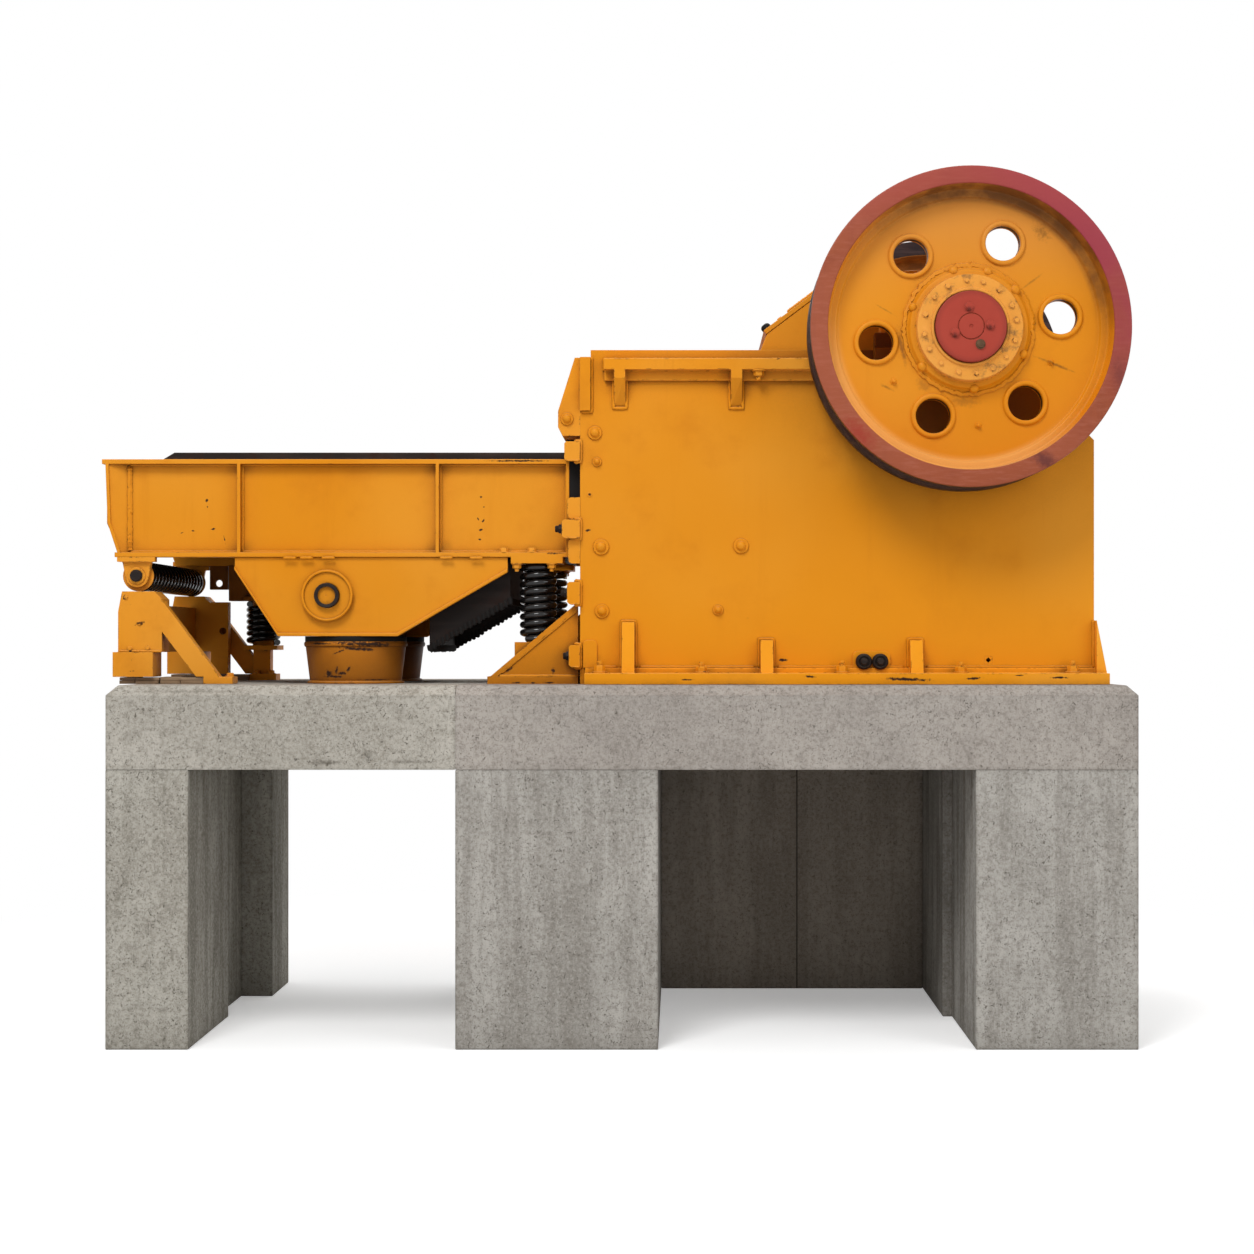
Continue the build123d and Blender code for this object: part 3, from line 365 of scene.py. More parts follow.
# A darker copy of the orange with strong painted shade, for what stands under the feeder and behind the
# wheels.
painted_shade_orange = enamel("painted_shade_orange", (182, 106, 10), (206, 128, 28), (128, 70, 12), 2.4, 0.48,
                          shade=0.9, scars=pot_scars)
# A darker copy of the orange for the front stands, with painted shade in the brace.
shaded_stand_orange = enamel("shaded_stand_orange", (212, 130, 14), (226, 150, 50), (168, 96, 12), 2.6, 0.46, 0.55,
                      shade=0.6, scars=knocks)
print("orange finishes:", len([one for one in bpy.data.materials if "orange" in one.name]))

# %% [markdown]
# The plinth is concrete cast between boards. Inside its bays the boards left upright strips, and its faces
# are full of small torn pores, sand grain and grey clouds, with dirt along the edges. Real pores could be
# cut into the mesh, but there are thousands, so two noises draw them in colour and in bump: a coarse one,
# twisted so that its peaks are short dashes, and a fine one for sand. The strips are a noise stretched along
# Z and read at X + Y, so they stay upright on every wall, and they are strongest on walls that face X.

# %% Concrete
pore_dark = (92, 86, 76)
corner_shade_grey = (82, 75, 66)


def concrete(name, colour, light, dark, coarse, boards=1.0, tint=None):
    """coarse is how rough the face is, and boards how plainly the strips show inside the bays."""
    material, tree = new_material(name)
    axes = axes_of(tree, place(tree))
    strip_inputs = {"X": plus(axes["X"], axes["Y"]), "Z": times(axes["Z"], 0.1)}
    strips = noise(tree, 8, detail=8, roughness=0.75,
                   where=add(tree, "CombineXYZ", strip_inputs).outputs["Vector"])
    inside = spread(calculate("ABSOLUTE", normal_of(tree)["X"]), 0.3, 0.9, 0.34 * boards, 0.75 * boards)
    upright_strips = times(spread(strips, 0.42, 0.60), inside)
    cloud = noise(tree, 1.8, detail=8, roughness=0.65)
    mottle = noise(tree, 24, detail=8, roughness=0.78)
    dashes = noise(tree, 52, (1, 1, 0.8), 3, 0.6, 2.2)
    pores = spread(dashes, 0.655 - 0.03 * coarse, 0.69 - 0.03 * coarse)
    sand = noise(tree, 60, detail=6, roughness=0.85)
    tone = blend(spread(cloud, 0.36, 0.62), colour, light)
    tone = blend(spread(mottle, 0.46, 0.66, 0, 0.35 + 0.3 * coarse), tone, dark)
    tone = blend(upright_strips, tone, dark)
    tone = blend(spread(sand, 0.5, 0.64, 0, 0.5 + 0.3 * coarse), tone, light)
    tone = blend(spread(sand, 0.5, 0.37, 0, 0.6 + 0.35 * coarse), tone, dark)
    tone = blend(times(pores, 0.55 + 0.3 * coarse), tone, pore_dark)
    worn = times(edges(tree, 0.022), spread(mottle, 0.40, 0.56))
    tone = blend(times(worn, 0.6), tone, dark)
    # Painted shade: corners and recesses darken.
    tone = blend(times(crevices(tree, 0.3), 0.35), tone, corner_shade_grey)
    if tint:
        tone = tint(tree, tone)
    relief = bump(upright_strips, 0.3, 0.004)
    relief = bump(mottle, 0.3 + 0.3 * coarse, 0.006, relief)
    relief = bump(sand, 0.5, 0.003, relief)
    relief = bump(inverse(pores), 0.8, 0.004, relief)
    return surface(material, tone, 0.92, bump(inverse(worn), 0.7, 0.006, relief), 0.15)


print("pores are about 10 mm long")

# %% [markdown]
# Oily water has left grey blots along the feeder slab's edges, and where two pours meet on the bay's back
# wall there is one upright joint. The joint could be a groove in the mesh, but the frame's solids stay as
# they are, and it is only a few millimetres wide. So both are mixed over the finished colour: torn spots at
# their own places, and a dark line where the surface's own X is near the joint.

# %% Concretes of the plinth
slab_blots = ((-1.335, 1.292, 0.130, 0.022, 0, 0.8), (-1.140, 1.325, 0.060, 0.050, 30, 0.45),
              (-1.930, 1.612, 0.500, 0.012, 0, 0.35), (-0.960, 1.296, 0.200, 0.014, 0, 0.5),
              (-2.200, 1.420, 0.110, 0.045, -20, 0.25), (-1.000, 1.520, 0.120, 0.050, 25, 0.25))
wall_joint_x = 0.881


def slab_tint(tree, tone):
    for x, z, half_x, half_z, turn, share in slab_blots:
        blot = spot(tree, (x, -1.0, z), (half_x, 0.3, half_z), turn, 1.6, 0.8)
        tone = blend(times(blot, share), tone, pore_dark)
    return tone


def wall_tint(tree, tone):
    from_joint = calculate("ABSOLUTE", calculate("SUBTRACT", axes_of(tree, place(tree))["X"], wall_joint_x))
    return blend(spread(from_joint, 0.006, 0.002, 0, 0.8), tone, (58, 52, 45))


left_leg_concrete = concrete("left_leg_concrete", (168, 163, 153), (190, 186, 176), (126, 121, 110), 1.0)
leg_concrete = concrete("leg_concrete", (164, 160, 153), (184, 180, 173), (126, 120, 112), 0.7, 1.3)
left_slab_concrete = concrete("left_slab_concrete", (172, 167, 157), (191, 186, 176), (130, 124, 113), 0.8,
                              0.3, slab_tint)
right_slab_concrete = concrete("right_slab_concrete", (160, 153, 146), (177, 170, 162), (122, 114, 106),
                               0.5, 0.3)
bay_concrete = concrete("bay_concrete", (160, 149, 137), (174, 163, 151), (112, 103, 92), 0.4,
                        tint=wall_tint)
print("blots on the slab:", len(slab_blots), "joint in the wall at X", wall_joint_x)

# %% [markdown]
# The bare steels are the chute, liners and grizzly bars, which rock has scoured, the jaws of manganese
# steel, the turned shaft and the rusty bolts. Each could have a graph of its own. They all age in the same
# way, though: scratches along the plate, rust in patches, dust on top. So one function makes them from a
# base colour, a polished colour and a rust colour, and rust also takes the metal's shine away.

# %% Steels
def worn_steel(name, colour, light, rust, metal, roughness, rust_share):
    material, tree = new_material(name)
    patches = noise(tree, 6, detail=8, roughness=0.7)
    scratches = noise(tree, 30, (0.12, 1, 1), 6)
    rusty = spread(patches, 0.62 - 0.3 * rust_share, 0.72, 0, 0.9)
    dust = times(facing_up(tree), spread(patches, 0.3, 0.7, 0.1, 0.45))
    tone = blend(spread(scratches, 0.4, 0.75), colour, light)
    tone = blend(rusty, tone, rust)
    tone = blend(times(edges(tree, 0.006), 0.5), tone, light)
    tone = blend(dust, tone, (150, 136, 116))
    matt = larger(rusty, dust)
    relief = bump(scratches, 0.2, 0.001, bump(patches, 0.4, 0.003))
    return surface(material, tone, spread(matt, 0.1, 0.7, roughness, 0.85), relief, 0.2,
                   spread(matt, 0.1, 0.7, metal, 0.0))


dark_steel = worn_steel("dark_steel", (30, 24, 22), (52, 44, 40), (46, 26, 19), 0.25, 0.55, 0.5)
# A darker copy of the dark steel for the chute: painted shade.
shaded_dark_steel = worn_steel("shaded_dark_steel", (20, 14, 12), (34, 27, 24), (34, 18, 12), 0.1, 0.75, 0.5)
worn_manganese = worn_steel("worn_manganese", (112, 106, 100), (160, 155, 148), (98, 66, 46), 0.85, 0.36,
                            0.35)
machined_steel = worn_steel("machined_steel", (150, 146, 140), (190, 186, 180), (96, 70, 48), 0.95, 0.3,
                            0.1)
belt_iron = worn_steel("belt_iron", (38, 27, 28), (70, 54, 52), (58, 30, 27), 0.35, 0.42, 0.4)
bolt_steel = worn_steel("bolt_steel", (74, 56, 40), (120, 96, 70), (66, 40, 26), 0.5, 0.5, 0.6)
print("steels:", dark_steel.name, shaded_dark_steel.name, worn_manganese.name, machined_steel.name,
      belt_iron.name, bolt_steel.name)

# %% [markdown]
# The springs are dipped in thick black enamel that shines, and the buffers and the chute's fringe are
# rubber. A plain black would lose their shape, because nothing shows on it but light. What gives a black
# piece its form is how it reflects, so here the film of dust changes the roughness as well as the colour.

# %% Black coats
def dark_coat(name, colour, dusty, roughness, speckle, shine):
    """Black enamel or rubber with a film of dust."""
    material, tree = new_material(name)
    patches = noise(tree, 14, detail=7)
    dust = times(facing_up(tree), spread(patches, 0.35, 0.7, 0.05, 0.5))
    film = larger(dust, spread(patches, 0.6, 0.85, 0, 0.25))
    relief = bump(noise(tree, speckle, detail=3), 0.15, 0.001)
    return surface(material, blend(film, colour, dusty), spread(film, 0, 0.5, roughness, 0.75), relief,
                   shine)


spring_enamel = dark_coat("spring_enamel", (20, 18, 18), (80, 70, 60), 0.12, 60, 0.45)
black_rubber = dark_coat("black_rubber", (24, 22, 21), (84, 76, 66), 0.7, 240, 0.15)
print("coats:", spring_enamel.name, black_rubber.name)

# %% [markdown]
# The packing under the rear stand is old sawn timber, grey where it has weathered and brown where it is
# wet. Blender's Wave texture makes regular rings, as on a fresh board. Noise that is stretched along the
# plank is less regular and suits rough sawn wood better.

# %% Timber
def timber(name):
    material, tree = new_material(name)
    grain = noise(tree, 26, (0.06, 1, 1), 8, 0.7)
    patches = noise(tree, 5, (0.4, 1, 1), 6)
    tone = blend(spread(grain, 0.35, 0.7), (112, 84, 58), (168, 142, 112))
    tone = blend(spread(patches, 0.45, 0.7, 0, 0.7), tone, (120, 108, 96))
    tone = blend(spread(grain, 0.36, 0.28), tone, (52, 38, 28))
    return surface(material, tone, 0.88, bump(grain, 0.6, 0.003), 0.5)


packing_timber = timber("packing_timber")
print("timber:", packing_timber.name)

# %% [markdown]
# Each solid of the frame gets its finish here, and soft edges. A perfectly sharp edge never catches light,
# and that is how a model gives itself away. The mesh could be edited, but the frame's meshes stay as they
# are, so modifiers do it: Weld joins the corners that the file format splits, and Bevel rounds what is
# sharper than 40 degrees. On eight solids the bevel would fold over the long thin triangles of a flat face,
# so Decimate in its planar mode joins those first. On the others it isn't needed, and on one of them it
# spoils a face. Pieces that are trodden on, knocked or flooded with rock take the worn paint.

# %% Dress the solids
finish_of_slot = {"concrete_light": left_leg_concrete, "concrete_brown": leg_concrete,
                  "orange_paint": orange_paint, "red_paint": orange_paint, "dark_steel": dark_steel,
                  "worn_manganese": worn_manganese, "machined_steel": machined_steel,
                  "black_rubber": black_rubber, "spring_steel": spring_enamel,
                  "packing_wood": packing_timber}
nodes_of_finish = (
    (left_slab_concrete, ["feeder_slab"]), (right_slab_concrete, ["crusher_slab"]),
    (bay_concrete, ["back_wall"]), (scarred_shaded_orange, ["near_feeder_side"]),
    (plate_orange, ["near_side_plate", "far_side_plate"]), (flange_orange_painted_light, ["base_flanges"]),
    (painted_shade_orange, ["buffer_stands", "bearing_housings", "far_spring_hanger"]),
    (shaded_stand_orange, ["front_stands"]), (shaded_dark_steel, ["grizzly_chute"]),
    (worn_orange, ["top_rails", "clamp_blocks", "near_rear_stand", "far_rear_stand",
                   "rear_stand_cross_plate", "rear_lugs", "feed_hood"]))
finish_of_node = {node: finish for finish, its_nodes in nodes_of_finish for node in its_nodes}
concrete_edge = 0.005
plate_edge = 0.003
thin_triangle_nodes = ("near_side_plate", "far_side_plate", "near_exciter_plate", "far_exciter_plate",
                       "front_stands", "far_rear_stand", "grizzly_bars", "pitman")


def round_edges(made, radius):
    bevel = made.modifiers.new("rounding", "BEVEL")
    bevel.width = radius
    bevel.segments = 2
    bevel.limit_method = "ANGLE"
    bevel.angle_limit = math.radians(40)


for part in frame["record"]["subparts"]:
    node = part["node"]
    slot = part["material_slot"]
    solid = nodes[node]
    solid.data.materials.clear()
    solid.data.materials.append(finish_of_node.get(node, finish_of_slot[slot]))
    joined = solid.modifiers.new("weld", "WELD")
    joined.merge_threshold = 0.00005
    if node in thin_triangle_nodes:
        flat = solid.modifiers.new("flat", "DECIMATE")
        flat.decimate_type = "DISSOLVE"
        flat.angle_limit = math.radians(0.3)
    round_edges(solid, concrete_edge if slot.startswith("concrete") else plate_edge)
print("dressed solids:", len(nodes))

# %% [markdown]
# What the solids leave out is made as meshes: bolts, weld, the turns of springs, cast wheels. Each could be
# put together from Blender's primitives, but real parts are turned, drawn and rolled, so three tools do
# the same here. A lathe turns a profile about an axis, a sweep draws a round section along a path, and a
# prism pushes a flat outline through a thickness. A mesh made so has the right edges from the start.

# %% Turn a profile on a lathe
plate_low, plate_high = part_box("near_side_plate")
crusher_front = plate_low.x
crusher_rear = plate_high.x
plate_top = plate_high.z
slab_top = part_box("crusher_slab")[1].z
plate_thickness = 0.060
outer_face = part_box("far_side_plate")[0].y + plate_thickness
both_sides = ((-1, "near"), (1, "far"))


def turned(origin, direction):
    """Stands a piece that is made along Z on origin, pointing along direction."""
    turn = Vector(direction).to_track_quat("Z", "Y").to_matrix().to_4x4()
    return Matrix.Translation(origin) @ turn


def outward(side, x, y, z):
    """Stands a piece on one side's face at y, pointing away from the machine."""
    return turned((x, side * y, z), (0, side, 0))


def upright(x, y, z):
    return turned((x, y, z), (0, 0, 1))


def hanging(x, y, z):
    return turned((x, y, z), (0, 0, -1))


def polar(reach, turn):
    return reach * math.cos(turn), reach * math.sin(turn)


def bridge(bm, below, above):
    """Joins two rings of points by a band of faces. A ring of one point closes an end."""
    count = max(len(below), len(above))
    for step in range(count):
        after = (step + 1) % count
        corners = [below[step % len(below)], below[after % len(below)],
                   above[after % len(above)], above[step % len(above)]]
        unique = list(dict.fromkeys(corners))
        if len(unique) > 2:
            bm.faces.new(unique)


def lathe(bm, profile, segments, placed):
    """Turns (radius, height) points about the local Z axis."""
    rings = []
    for radius, height in profile:
        turns = [2 * math.pi * step / segments for step in range(segments if radius else 1)]
        rings.append([bm.verts.new(placed @ Vector((*polar(radius, turn), height))) for turn in turns])
    for below, above in zip(rings, rings[1:]):
        bridge(bm, below, above)


print("side plates stand at Y +-", round(outer_face, 3), "on a slab at Z", round(slab_top, 3))

# %% Round a profile's corners
def rounded(corner, before, after, radius, steps=4):
    """Points that round one corner of a profile."""
    corner, before, after = Vector(corner), Vector(before), Vector(after)
    first = corner + (before - corner).normalized() * radius
    last = corner + (after - corner).normalized() * radius
    shares = [index / steps for index in range(steps + 1)]
    return [tuple(first.lerp(corner, t).lerp(corner.lerp(last, t), t)) for t in shares]


def rounded_profile(corners):
    """Plain points from corners given as radius, height and rounding."""
    points = []
    for index, (x, y, radius) in enumerate(corners):
        if radius == 0 or index in (0, len(corners) - 1):
            points.append((x, y))
        else:
            points += rounded((x, y), corners[index - 1][:2], corners[index + 1][:2], radius)
    return points


print("a rounded corner has", len(rounded((0, 0), (1, 0), (0, 1), 0.1)), "points")

# %% Sweep a section, push a prism
def sweep(bm, points, radii, sides, closed=False):
    """Round section along a path, turning with the path and not twisting."""
    points = [Vector(point) for point in points]
    count = len(points)
    normal = (points[1] - points[0]).orthogonal().normalized()
    rings = []
    for index, point in enumerate(points):
        ahead = points[(index + 1) % count] if closed else points[min(index + 1, count - 1)]
        behind = points[index - 1] if closed else points[max(index - 1, 0)]
        direction = (ahead - behind).normalized()
        normal = (normal - direction * normal.dot(direction)).normalized()
        across = direction.cross(normal)
        turns = [2 * math.pi * step / sides for step in range(sides)]
        rings.append([bm.verts.new(point + radii[index] * (normal * math.cos(turn) + across * math.sin(turn)))
                      for turn in turns])
    for below, above in zip(rings, rings[1:] + rings[:1] if closed else rings[1:]):
        bridge(bm, below, above)
    if not closed:
        bm.faces.new(rings[0][::-1])
        bm.faces.new(rings[-1])


def prism(bm, outline, low, high):
    """Outline of (x, z) corners, pushed along Y from low to high."""
    bottom = [bm.verts.new((x, low, z)) for x, z in outline]
    top = [bm.verts.new((x, high, z)) for x, z in outline]
    bm.faces.new(bottom[::-1])
    bm.faces.new(top)
    bridge(bm, bottom, top)


print("tools: lathe, sweep, prism")

# %% [markdown]
# Every piece needs the same last steps: its normals, its finish, its shading and the body that it rides on.
# They could be written out after each mesh. Here they stand once, in a decorator: a function that is named
# over another one with @ and takes it in. "piece" calls the function below it with an empty mesh, to be
# filled, and names the piece after it. "pair" does so for the near and for the far side, and tells the
# function which side it is on, as -1 or 1. The solids bring materials of the same names with them, so
# Blender adds a dot and a number to a finish's name.


def make_piece(name, fill, finishes, body="frame", sharp=35, rounding=0.0, replaces=None):
    bm = bmesh.new()
    fill(bm)
    bmesh.ops.recalc_face_normals(bm, faces=bm.faces)
    mesh = bpy.data.meshes.new(name)
    bm.to_mesh(mesh)
    bm.free()
    for finish in finishes:
        mesh.materials.append(finish)
    mesh.shade_smooth()
    mesh.set_sharp_from_angle(angle=math.radians(sharp))
    made = bpy.data.objects.new(name, mesh)
    bpy.context.collection.objects.link(made)
    if rounding:
        round_edges(made, rounding)
    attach(made, body)
    if replaces:
        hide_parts(replaces)
    print(name, "faces:", len(mesh.polygons))
    return made


def piece(*finishes, **details):
    return lambda fill: make_piece(fill.__name__, fill, finishes, **details)


def pair(*finishes, replaces=None, **details):
    """One node may stand for both sides, so only the near piece replaces it."""
    def make(fill):
        return [make_piece(f"{name}_{fill.__name__}", lambda bm: fill(bm, side), finishes,
                           replaces=replaces if side < 0 else None, **details) for side, name in both_sides]
    return make


print("sides:", [name for side, name in both_sides])

# %% [markdown]
# Fasteners. A bolt head could be a hexagonal cylinder, but a real one has a chamfered top and sits on a
# washer, and that is what catches the light. So both are turned on the lathe, the head with six segments.
# A liner bolt shows as a thick round washer with a domed head, all painted over with the plate. A threaded
# end is a lathe profile with a ridge for each thread.

# %% Bolts, nuts and studs
def hex_bolt(bm, placed, across_flats, height, washer=1.5, thread=None):
    """Head on its washer. thread is the radius, length and pitch of a stud that stands out of it."""
    corner = across_flats / math.sqrt(3)
    if washer:
        wide = corner * washer
        lathe(bm, [(0, 0), (wide, 0), (wide, height * 0.16), (wide * 0.94, height * 0.2), (0, height * 0.2)],
              24, placed)
    lathe(bm, [(0, 0), (corner, 0), (corner, height * 0.86), (corner * 0.86, height), (0, height)], 6, placed)
    if thread:
        radius, reach, pitch = thread
        profile = [(0, 0), (radius, 0)]
        for index in range(int((reach - 0.004) / pitch)):
            start = index * pitch
            profile += [(radius, start + pitch * 0.35), (radius * 0.9, start + pitch * 0.65),
                        (radius, start + pitch * 0.95)]
        profile += [(radius * 0.8, reach), (0, reach)]
        lathe(bm, profile, 20, placed @ Matrix.Translation((0, 0, height)))


def domed_bolt(bm, placed, washer_radius, head_radius, height):
    thick = height * 0.35
    washer = [(0, 0), (washer_radius, 0), (washer_radius, thick * 0.6), (washer_radius * 0.92, thick),
              (0, thick)]
    lathe(bm, washer, 32, placed)
    dome = [(head_radius * math.cos(turn), thick + (height - thick) * math.sin(turn))
            for turn in (0, 0.45, 0.8, 1.1, 1.35)]
    lathe(bm, [(0, thick)] + dome + [(0, height)], 28, placed)


print("a liner bolt's washer is about 70 mm across")

# %% [markdown]
# Weld. The frame is welded plate, and its seams show as raised, rippled beads with paint over them. Bump
# could draw the ripple, but a bead stands 5 to 9 mm proud and has its own shadow, so each one is a thin
# swept tube in the corner, with a swelling for each drop of metal and a little unevenness along its way.

# %% Weld beads
def bead_radii(count, size, draw):
    return [size * (1.0 + 0.22 * (index % 2) + draw.uniform(-0.09, 0.09)) for index in range(count)]


def weld(bm, path, size):
    """Bead along straight runs between the path's points, thin at its ends."""
    path = [Vector(point) for point in path]
    draw = random.Random(int(sum(abs(value) for point in path for value in point) * 1e4))
    points = []
    for start, end in zip(path, path[1:]):
        steps = max(2, int((end - start).length / (size * 0.9)))
        points += [start.lerp(end, index / steps) for index in range(steps)]
    points.append(path[-1])
    wobble = size * 0.12
    points = [point + Vector([draw.uniform(-wobble, wobble) for axis in range(3)]) for point in points]
    radii = bead_radii(len(points), size, draw)
    radii[0] = radii[-1] = size * 0.5
    sweep(bm, points, radii, 6)


def ring_weld(bm, placed, radius, size, uneven=0.1):
    """Bead round a circle, as where a tube meets a plate."""
    draw = random.Random(int(radius * 1e5))
    count = max(12, int(2 * math.pi * radius / (size * 0.9)) // 2 * 2)
    wobble = size * uneven
    points = []
    for index in range(count):
        reach = radius + draw.uniform(-wobble, wobble)
        points.append(placed @ Vector((*polar(reach, 2 * math.pi * index / count), 0)))
    sweep(bm, points, bead_radii(count, size, draw), 6, closed=True)


print("weld beads ripple about every 7 mm")

# %% [markdown]
# The flywheel is the piece that the eye goes to. It is one iron casting: a heavy rim, a web with six round
# windows and a stepped hub. A cylinder with holes would look stamped, because cast corners are all round.
# Here one profile holds every step and radius and is turned through 160 segments, and a Boolean cuts the
# windows. The rim's outside carries grooves for the V-belts.

# %% Sizes of the flywheel
wheel_low, wheel_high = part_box("far_flywheel")
shaft_x = (wheel_low.x + wheel_high.x) / 2
shaft_z = (wheel_low.z + wheel_high.z) / 2
wheel_radius = (wheel_high.x - wheel_low.x) / 2
wheel_inner = wheel_low.y
wheel_width = wheel_high.y - wheel_low.y
rim_inner = wheel_radius - 0.080
web_low = 0.130
web_high = 0.190
hub_radius = 0.276
flange_radius = 0.238
flange_face = 0.266
collar_outer = 0.178
collar_inner = 0.161
collar_height = 0.012
bore_radius = 0.0953
groove_count = 6
groove_pitch = 0.037
groove_depth = 0.017
groove_start = 0.030
wheel_segments = 160


def on_wheel(side, x, z, out):
    """Stands a piece on the wheel, at a place from its middle and a height over its inner face."""
    return outward(side, shaft_x + x, wheel_inner + out, shaft_z + z)


print("shaft at X", round(shaft_x, 3), "and Z", round(shaft_z, 3))

# %% Flywheel profile
def belt_grooves():
    top = wheel_radius - 0.004
    bottom = top - groove_depth
    corners = []
    for index in range(groove_count):
        start = groove_start + index * groove_pitch
        corners += [(top, start, 0.002), (bottom, start + groove_pitch * 0.25, 0.003),
                    (bottom, start + groove_pitch * 0.5, 0.003), (top, start + groove_pitch * 0.75, 0.002)]
    return corners


def wheel_profile():
    """The casting's corners as radius, height and rounding: its back, grooves, rim, web and hub."""
    collar_top = flange_face + collar_height
    back = [(bore_radius, 0, 0), (hub_radius, 0, 0.012), (hub_radius + 0.006, web_low, 0.020),
            (rim_inner - 0.008, web_low, 0.030), (rim_inner, 0.004, 0.002), (rim_inner + 0.004, 0, 0.002),
            (wheel_radius - 0.003, 0, 0.002), (wheel_radius, 0.003, 0.002)]
    rim = [(wheel_radius, wheel_width - 0.040, 0.003), (wheel_radius, wheel_width, 0.007),
           (rim_inner + 0.002, wheel_width, 0.006), (rim_inner - 0.006, web_high + 0.018, 0.012),
           (rim_inner - 0.040, web_high + 0.015, 0.006), (rim_inner - 0.048, web_high, 0.006)]
    hub = [(hub_radius + 0.018, web_high, 0.012), (hub_radius - 0.004, web_high + 0.020, 0.006),
           (hub_radius - 0.010, web_high + 0.036, 0.008), (flange_radius + 0.004, web_high + 0.040, 0.006),
           (flange_radius, flange_face, 0.006), (collar_outer, flange_face, 0.003),
           (collar_outer - 0.004, collar_top, 0.004), (collar_inner + 0.002, collar_top, 0.003),
           (collar_inner, flange_face, 0), (bore_radius, flange_face, 0)]
    return rounded_profile(back + belt_grooves() + rim + hub)


print("flywheel:", round(2 * wheel_radius, 3), "m across, profile of", len(wheel_profile()), "points")

# %% [markdown]
# Four finishes meet on the wheel. The rim's face is maroon, brown on the left and plum where the upper right
# has faded. The belt face is dark worn iron, and the windows' bores take the same iron as painted shade. The
# web is orange like the frame, tan at the top, with old grease below the hub, painted shade under the top of
# the rim's wall and a painted highlight round its foot. The hub's flange is stained between its bolts. One
# image painted for the wheel could hold all that, but it would be tied to one size and would blur close by.
# So each stain is a mask worked out from the wheel's own axes, and each face of the mesh takes the finish of
# the place where it lies, which keeps the line between two finishes as sharp as a painted one.

# %% Rim paint
def wheel_place(tree):
    """Across, up and distance from the wheel's middle."""
    axes = axes_of(tree, place(tree))
    across = calculate("SUBTRACT", axes["X"], shaft_x)
    up = calculate("SUBTRACT", axes["Z"], shaft_z)
    return across, up, length(add(tree, "CombineXYZ", {"X": across, "Y": up}).outputs["Vector"])


def torn_marks(tree, paint, *rows):
    """Torn stains and painted shadows on both wheels, as thick as the wheel, so Y is left out. A row is the
    colour, its share, the place from the wheel's middle, the half sizes, the lean and how torn the edge is."""
    for colour, share, x, z, half_x, half_z, turn, torn in rows:
        mask = spot(tree, (shaft_x + x, 0, shaft_z + z), (half_x, 50, half_z), turn, torn, 0.85)
        paint = blend(times(mask, share), paint, colour)
    return paint


def rim_tint(tree, paint):
    across, up = wheel_place(tree)[:2]
    brushed = noise(tree, 60, (0.16, 1, 1), 5, 0.7)
    paint = blend(spread(brushed, 0.45, 0.7, 0, 0.35), paint, (176, 104, 84))
    faded = spread(noise(tree, 2.2), 0.3, 0.55, 0.6, 1.0)
    plum = times(spread(plus(across, times(up, 0.7)), 0.30, 0.78, 0, 0.9), faded)
    paint = blend(plum, paint, (150, 56, 70))
    paint = blend(spread(up, 0.35, 0.68, 0, 0.6), paint, (160, 68, 66))
    return torn_marks(tree, paint, ((70, 34, 42), 0.7, 0.33, -0.60, 0.13, 0.06, 35, 1.1),
                  ((152, 48, 38), 0.7, -0.50, -0.48, 0.16, 0.08, 45, 1.1),
                  ((96, 46, 46), 0.5, 0.66, -0.22, 0.06, 0.14, 0, 1.1))


rim_paint = enamel("rim_paint", (146, 74, 47), (160, 86, 62), (112, 50, 42), wear=0.5, tint=rim_tint)
print("rim finish:", rim_paint.name)

# %% Web and hub paint
grease = (78, 50, 22)
brown_drip = (128, 76, 26)


def web_tint(tree, paint):
    """Tan above, deep below, painted shade round the top of the rim's wall, a painted highlight round its
    foot.
    """
    across, up, reach = wheel_place(tree)
    paint = blend(spread(up, 0.05, 0.62, 0, 0.75), paint, (208, 138, 62))
    paint = blend(spread(up, 0.0, -0.6, 0, 0.6), paint, (208, 122, 8))
    near_wall = spread(reach, rim_inner - 0.075, rim_inner - 0.035)
    lean = plus(up, times(across, 0.45))
    broken = spread(noise(tree, 9, detail=6), 0.3, 0.6, 0.55, 1.0)
    # Painted shade on the web next to the rim's wall, strongest towards the top.
    painted_shade_share = times(spread(lean, 0.10, 0.55, 0, 0.85), broken)
    paint = blend(times(near_wall, painted_shade_share), paint, (92, 54, 26))
    # Painted highlight round the foot of the rim's wall.
    paint = blend(times(near_wall, spread(lean, -0.1, -0.5, 0, 0.55)), paint, (232, 172, 100))
    return torn_marks(tree, paint, (brown_drip, 0.75, -0.300, -0.080, 0.018, 0.130, -14, 1.5),
                  (brown_drip, 0.45, -0.20, -0.250, 0.060, 0.040, 40, 1.5),
                  (grease, 0.35, -0.02, -0.325, 0.120, 0.040, 0, 1.5),
                  (grease, 0.65, 0.395, -0.158, 0.135, 0.011, 22, 1.5),
                  (grease, 0.40, 0.285, 0.215, 0.100, 0.008, -37, 1.5),
                  (grease, 0.35, -0.375, 0.090, 0.080, 0.006, 30, 1.5),
                  (grease, 0.50, 0.330, 0.440, 0.070, 0.045, 40, 1.8),
                  (grease, 0.50, -0.365, -0.262, 0.050, 0.010, 25, 1.5))


def flange_tint(tree, paint):
    across = wheel_place(tree)[0]
    where = plus(noise(tree, 12, detail=8, roughness=0.72), times(across, 0.16))
    paint = blend(spread(where, 0.50, 0.68, 0, 0.75), paint, (84, 66, 50))
    return blend(spread(where, 0.46, 0.32, 0, 0.6), paint, (232, 160, 72))


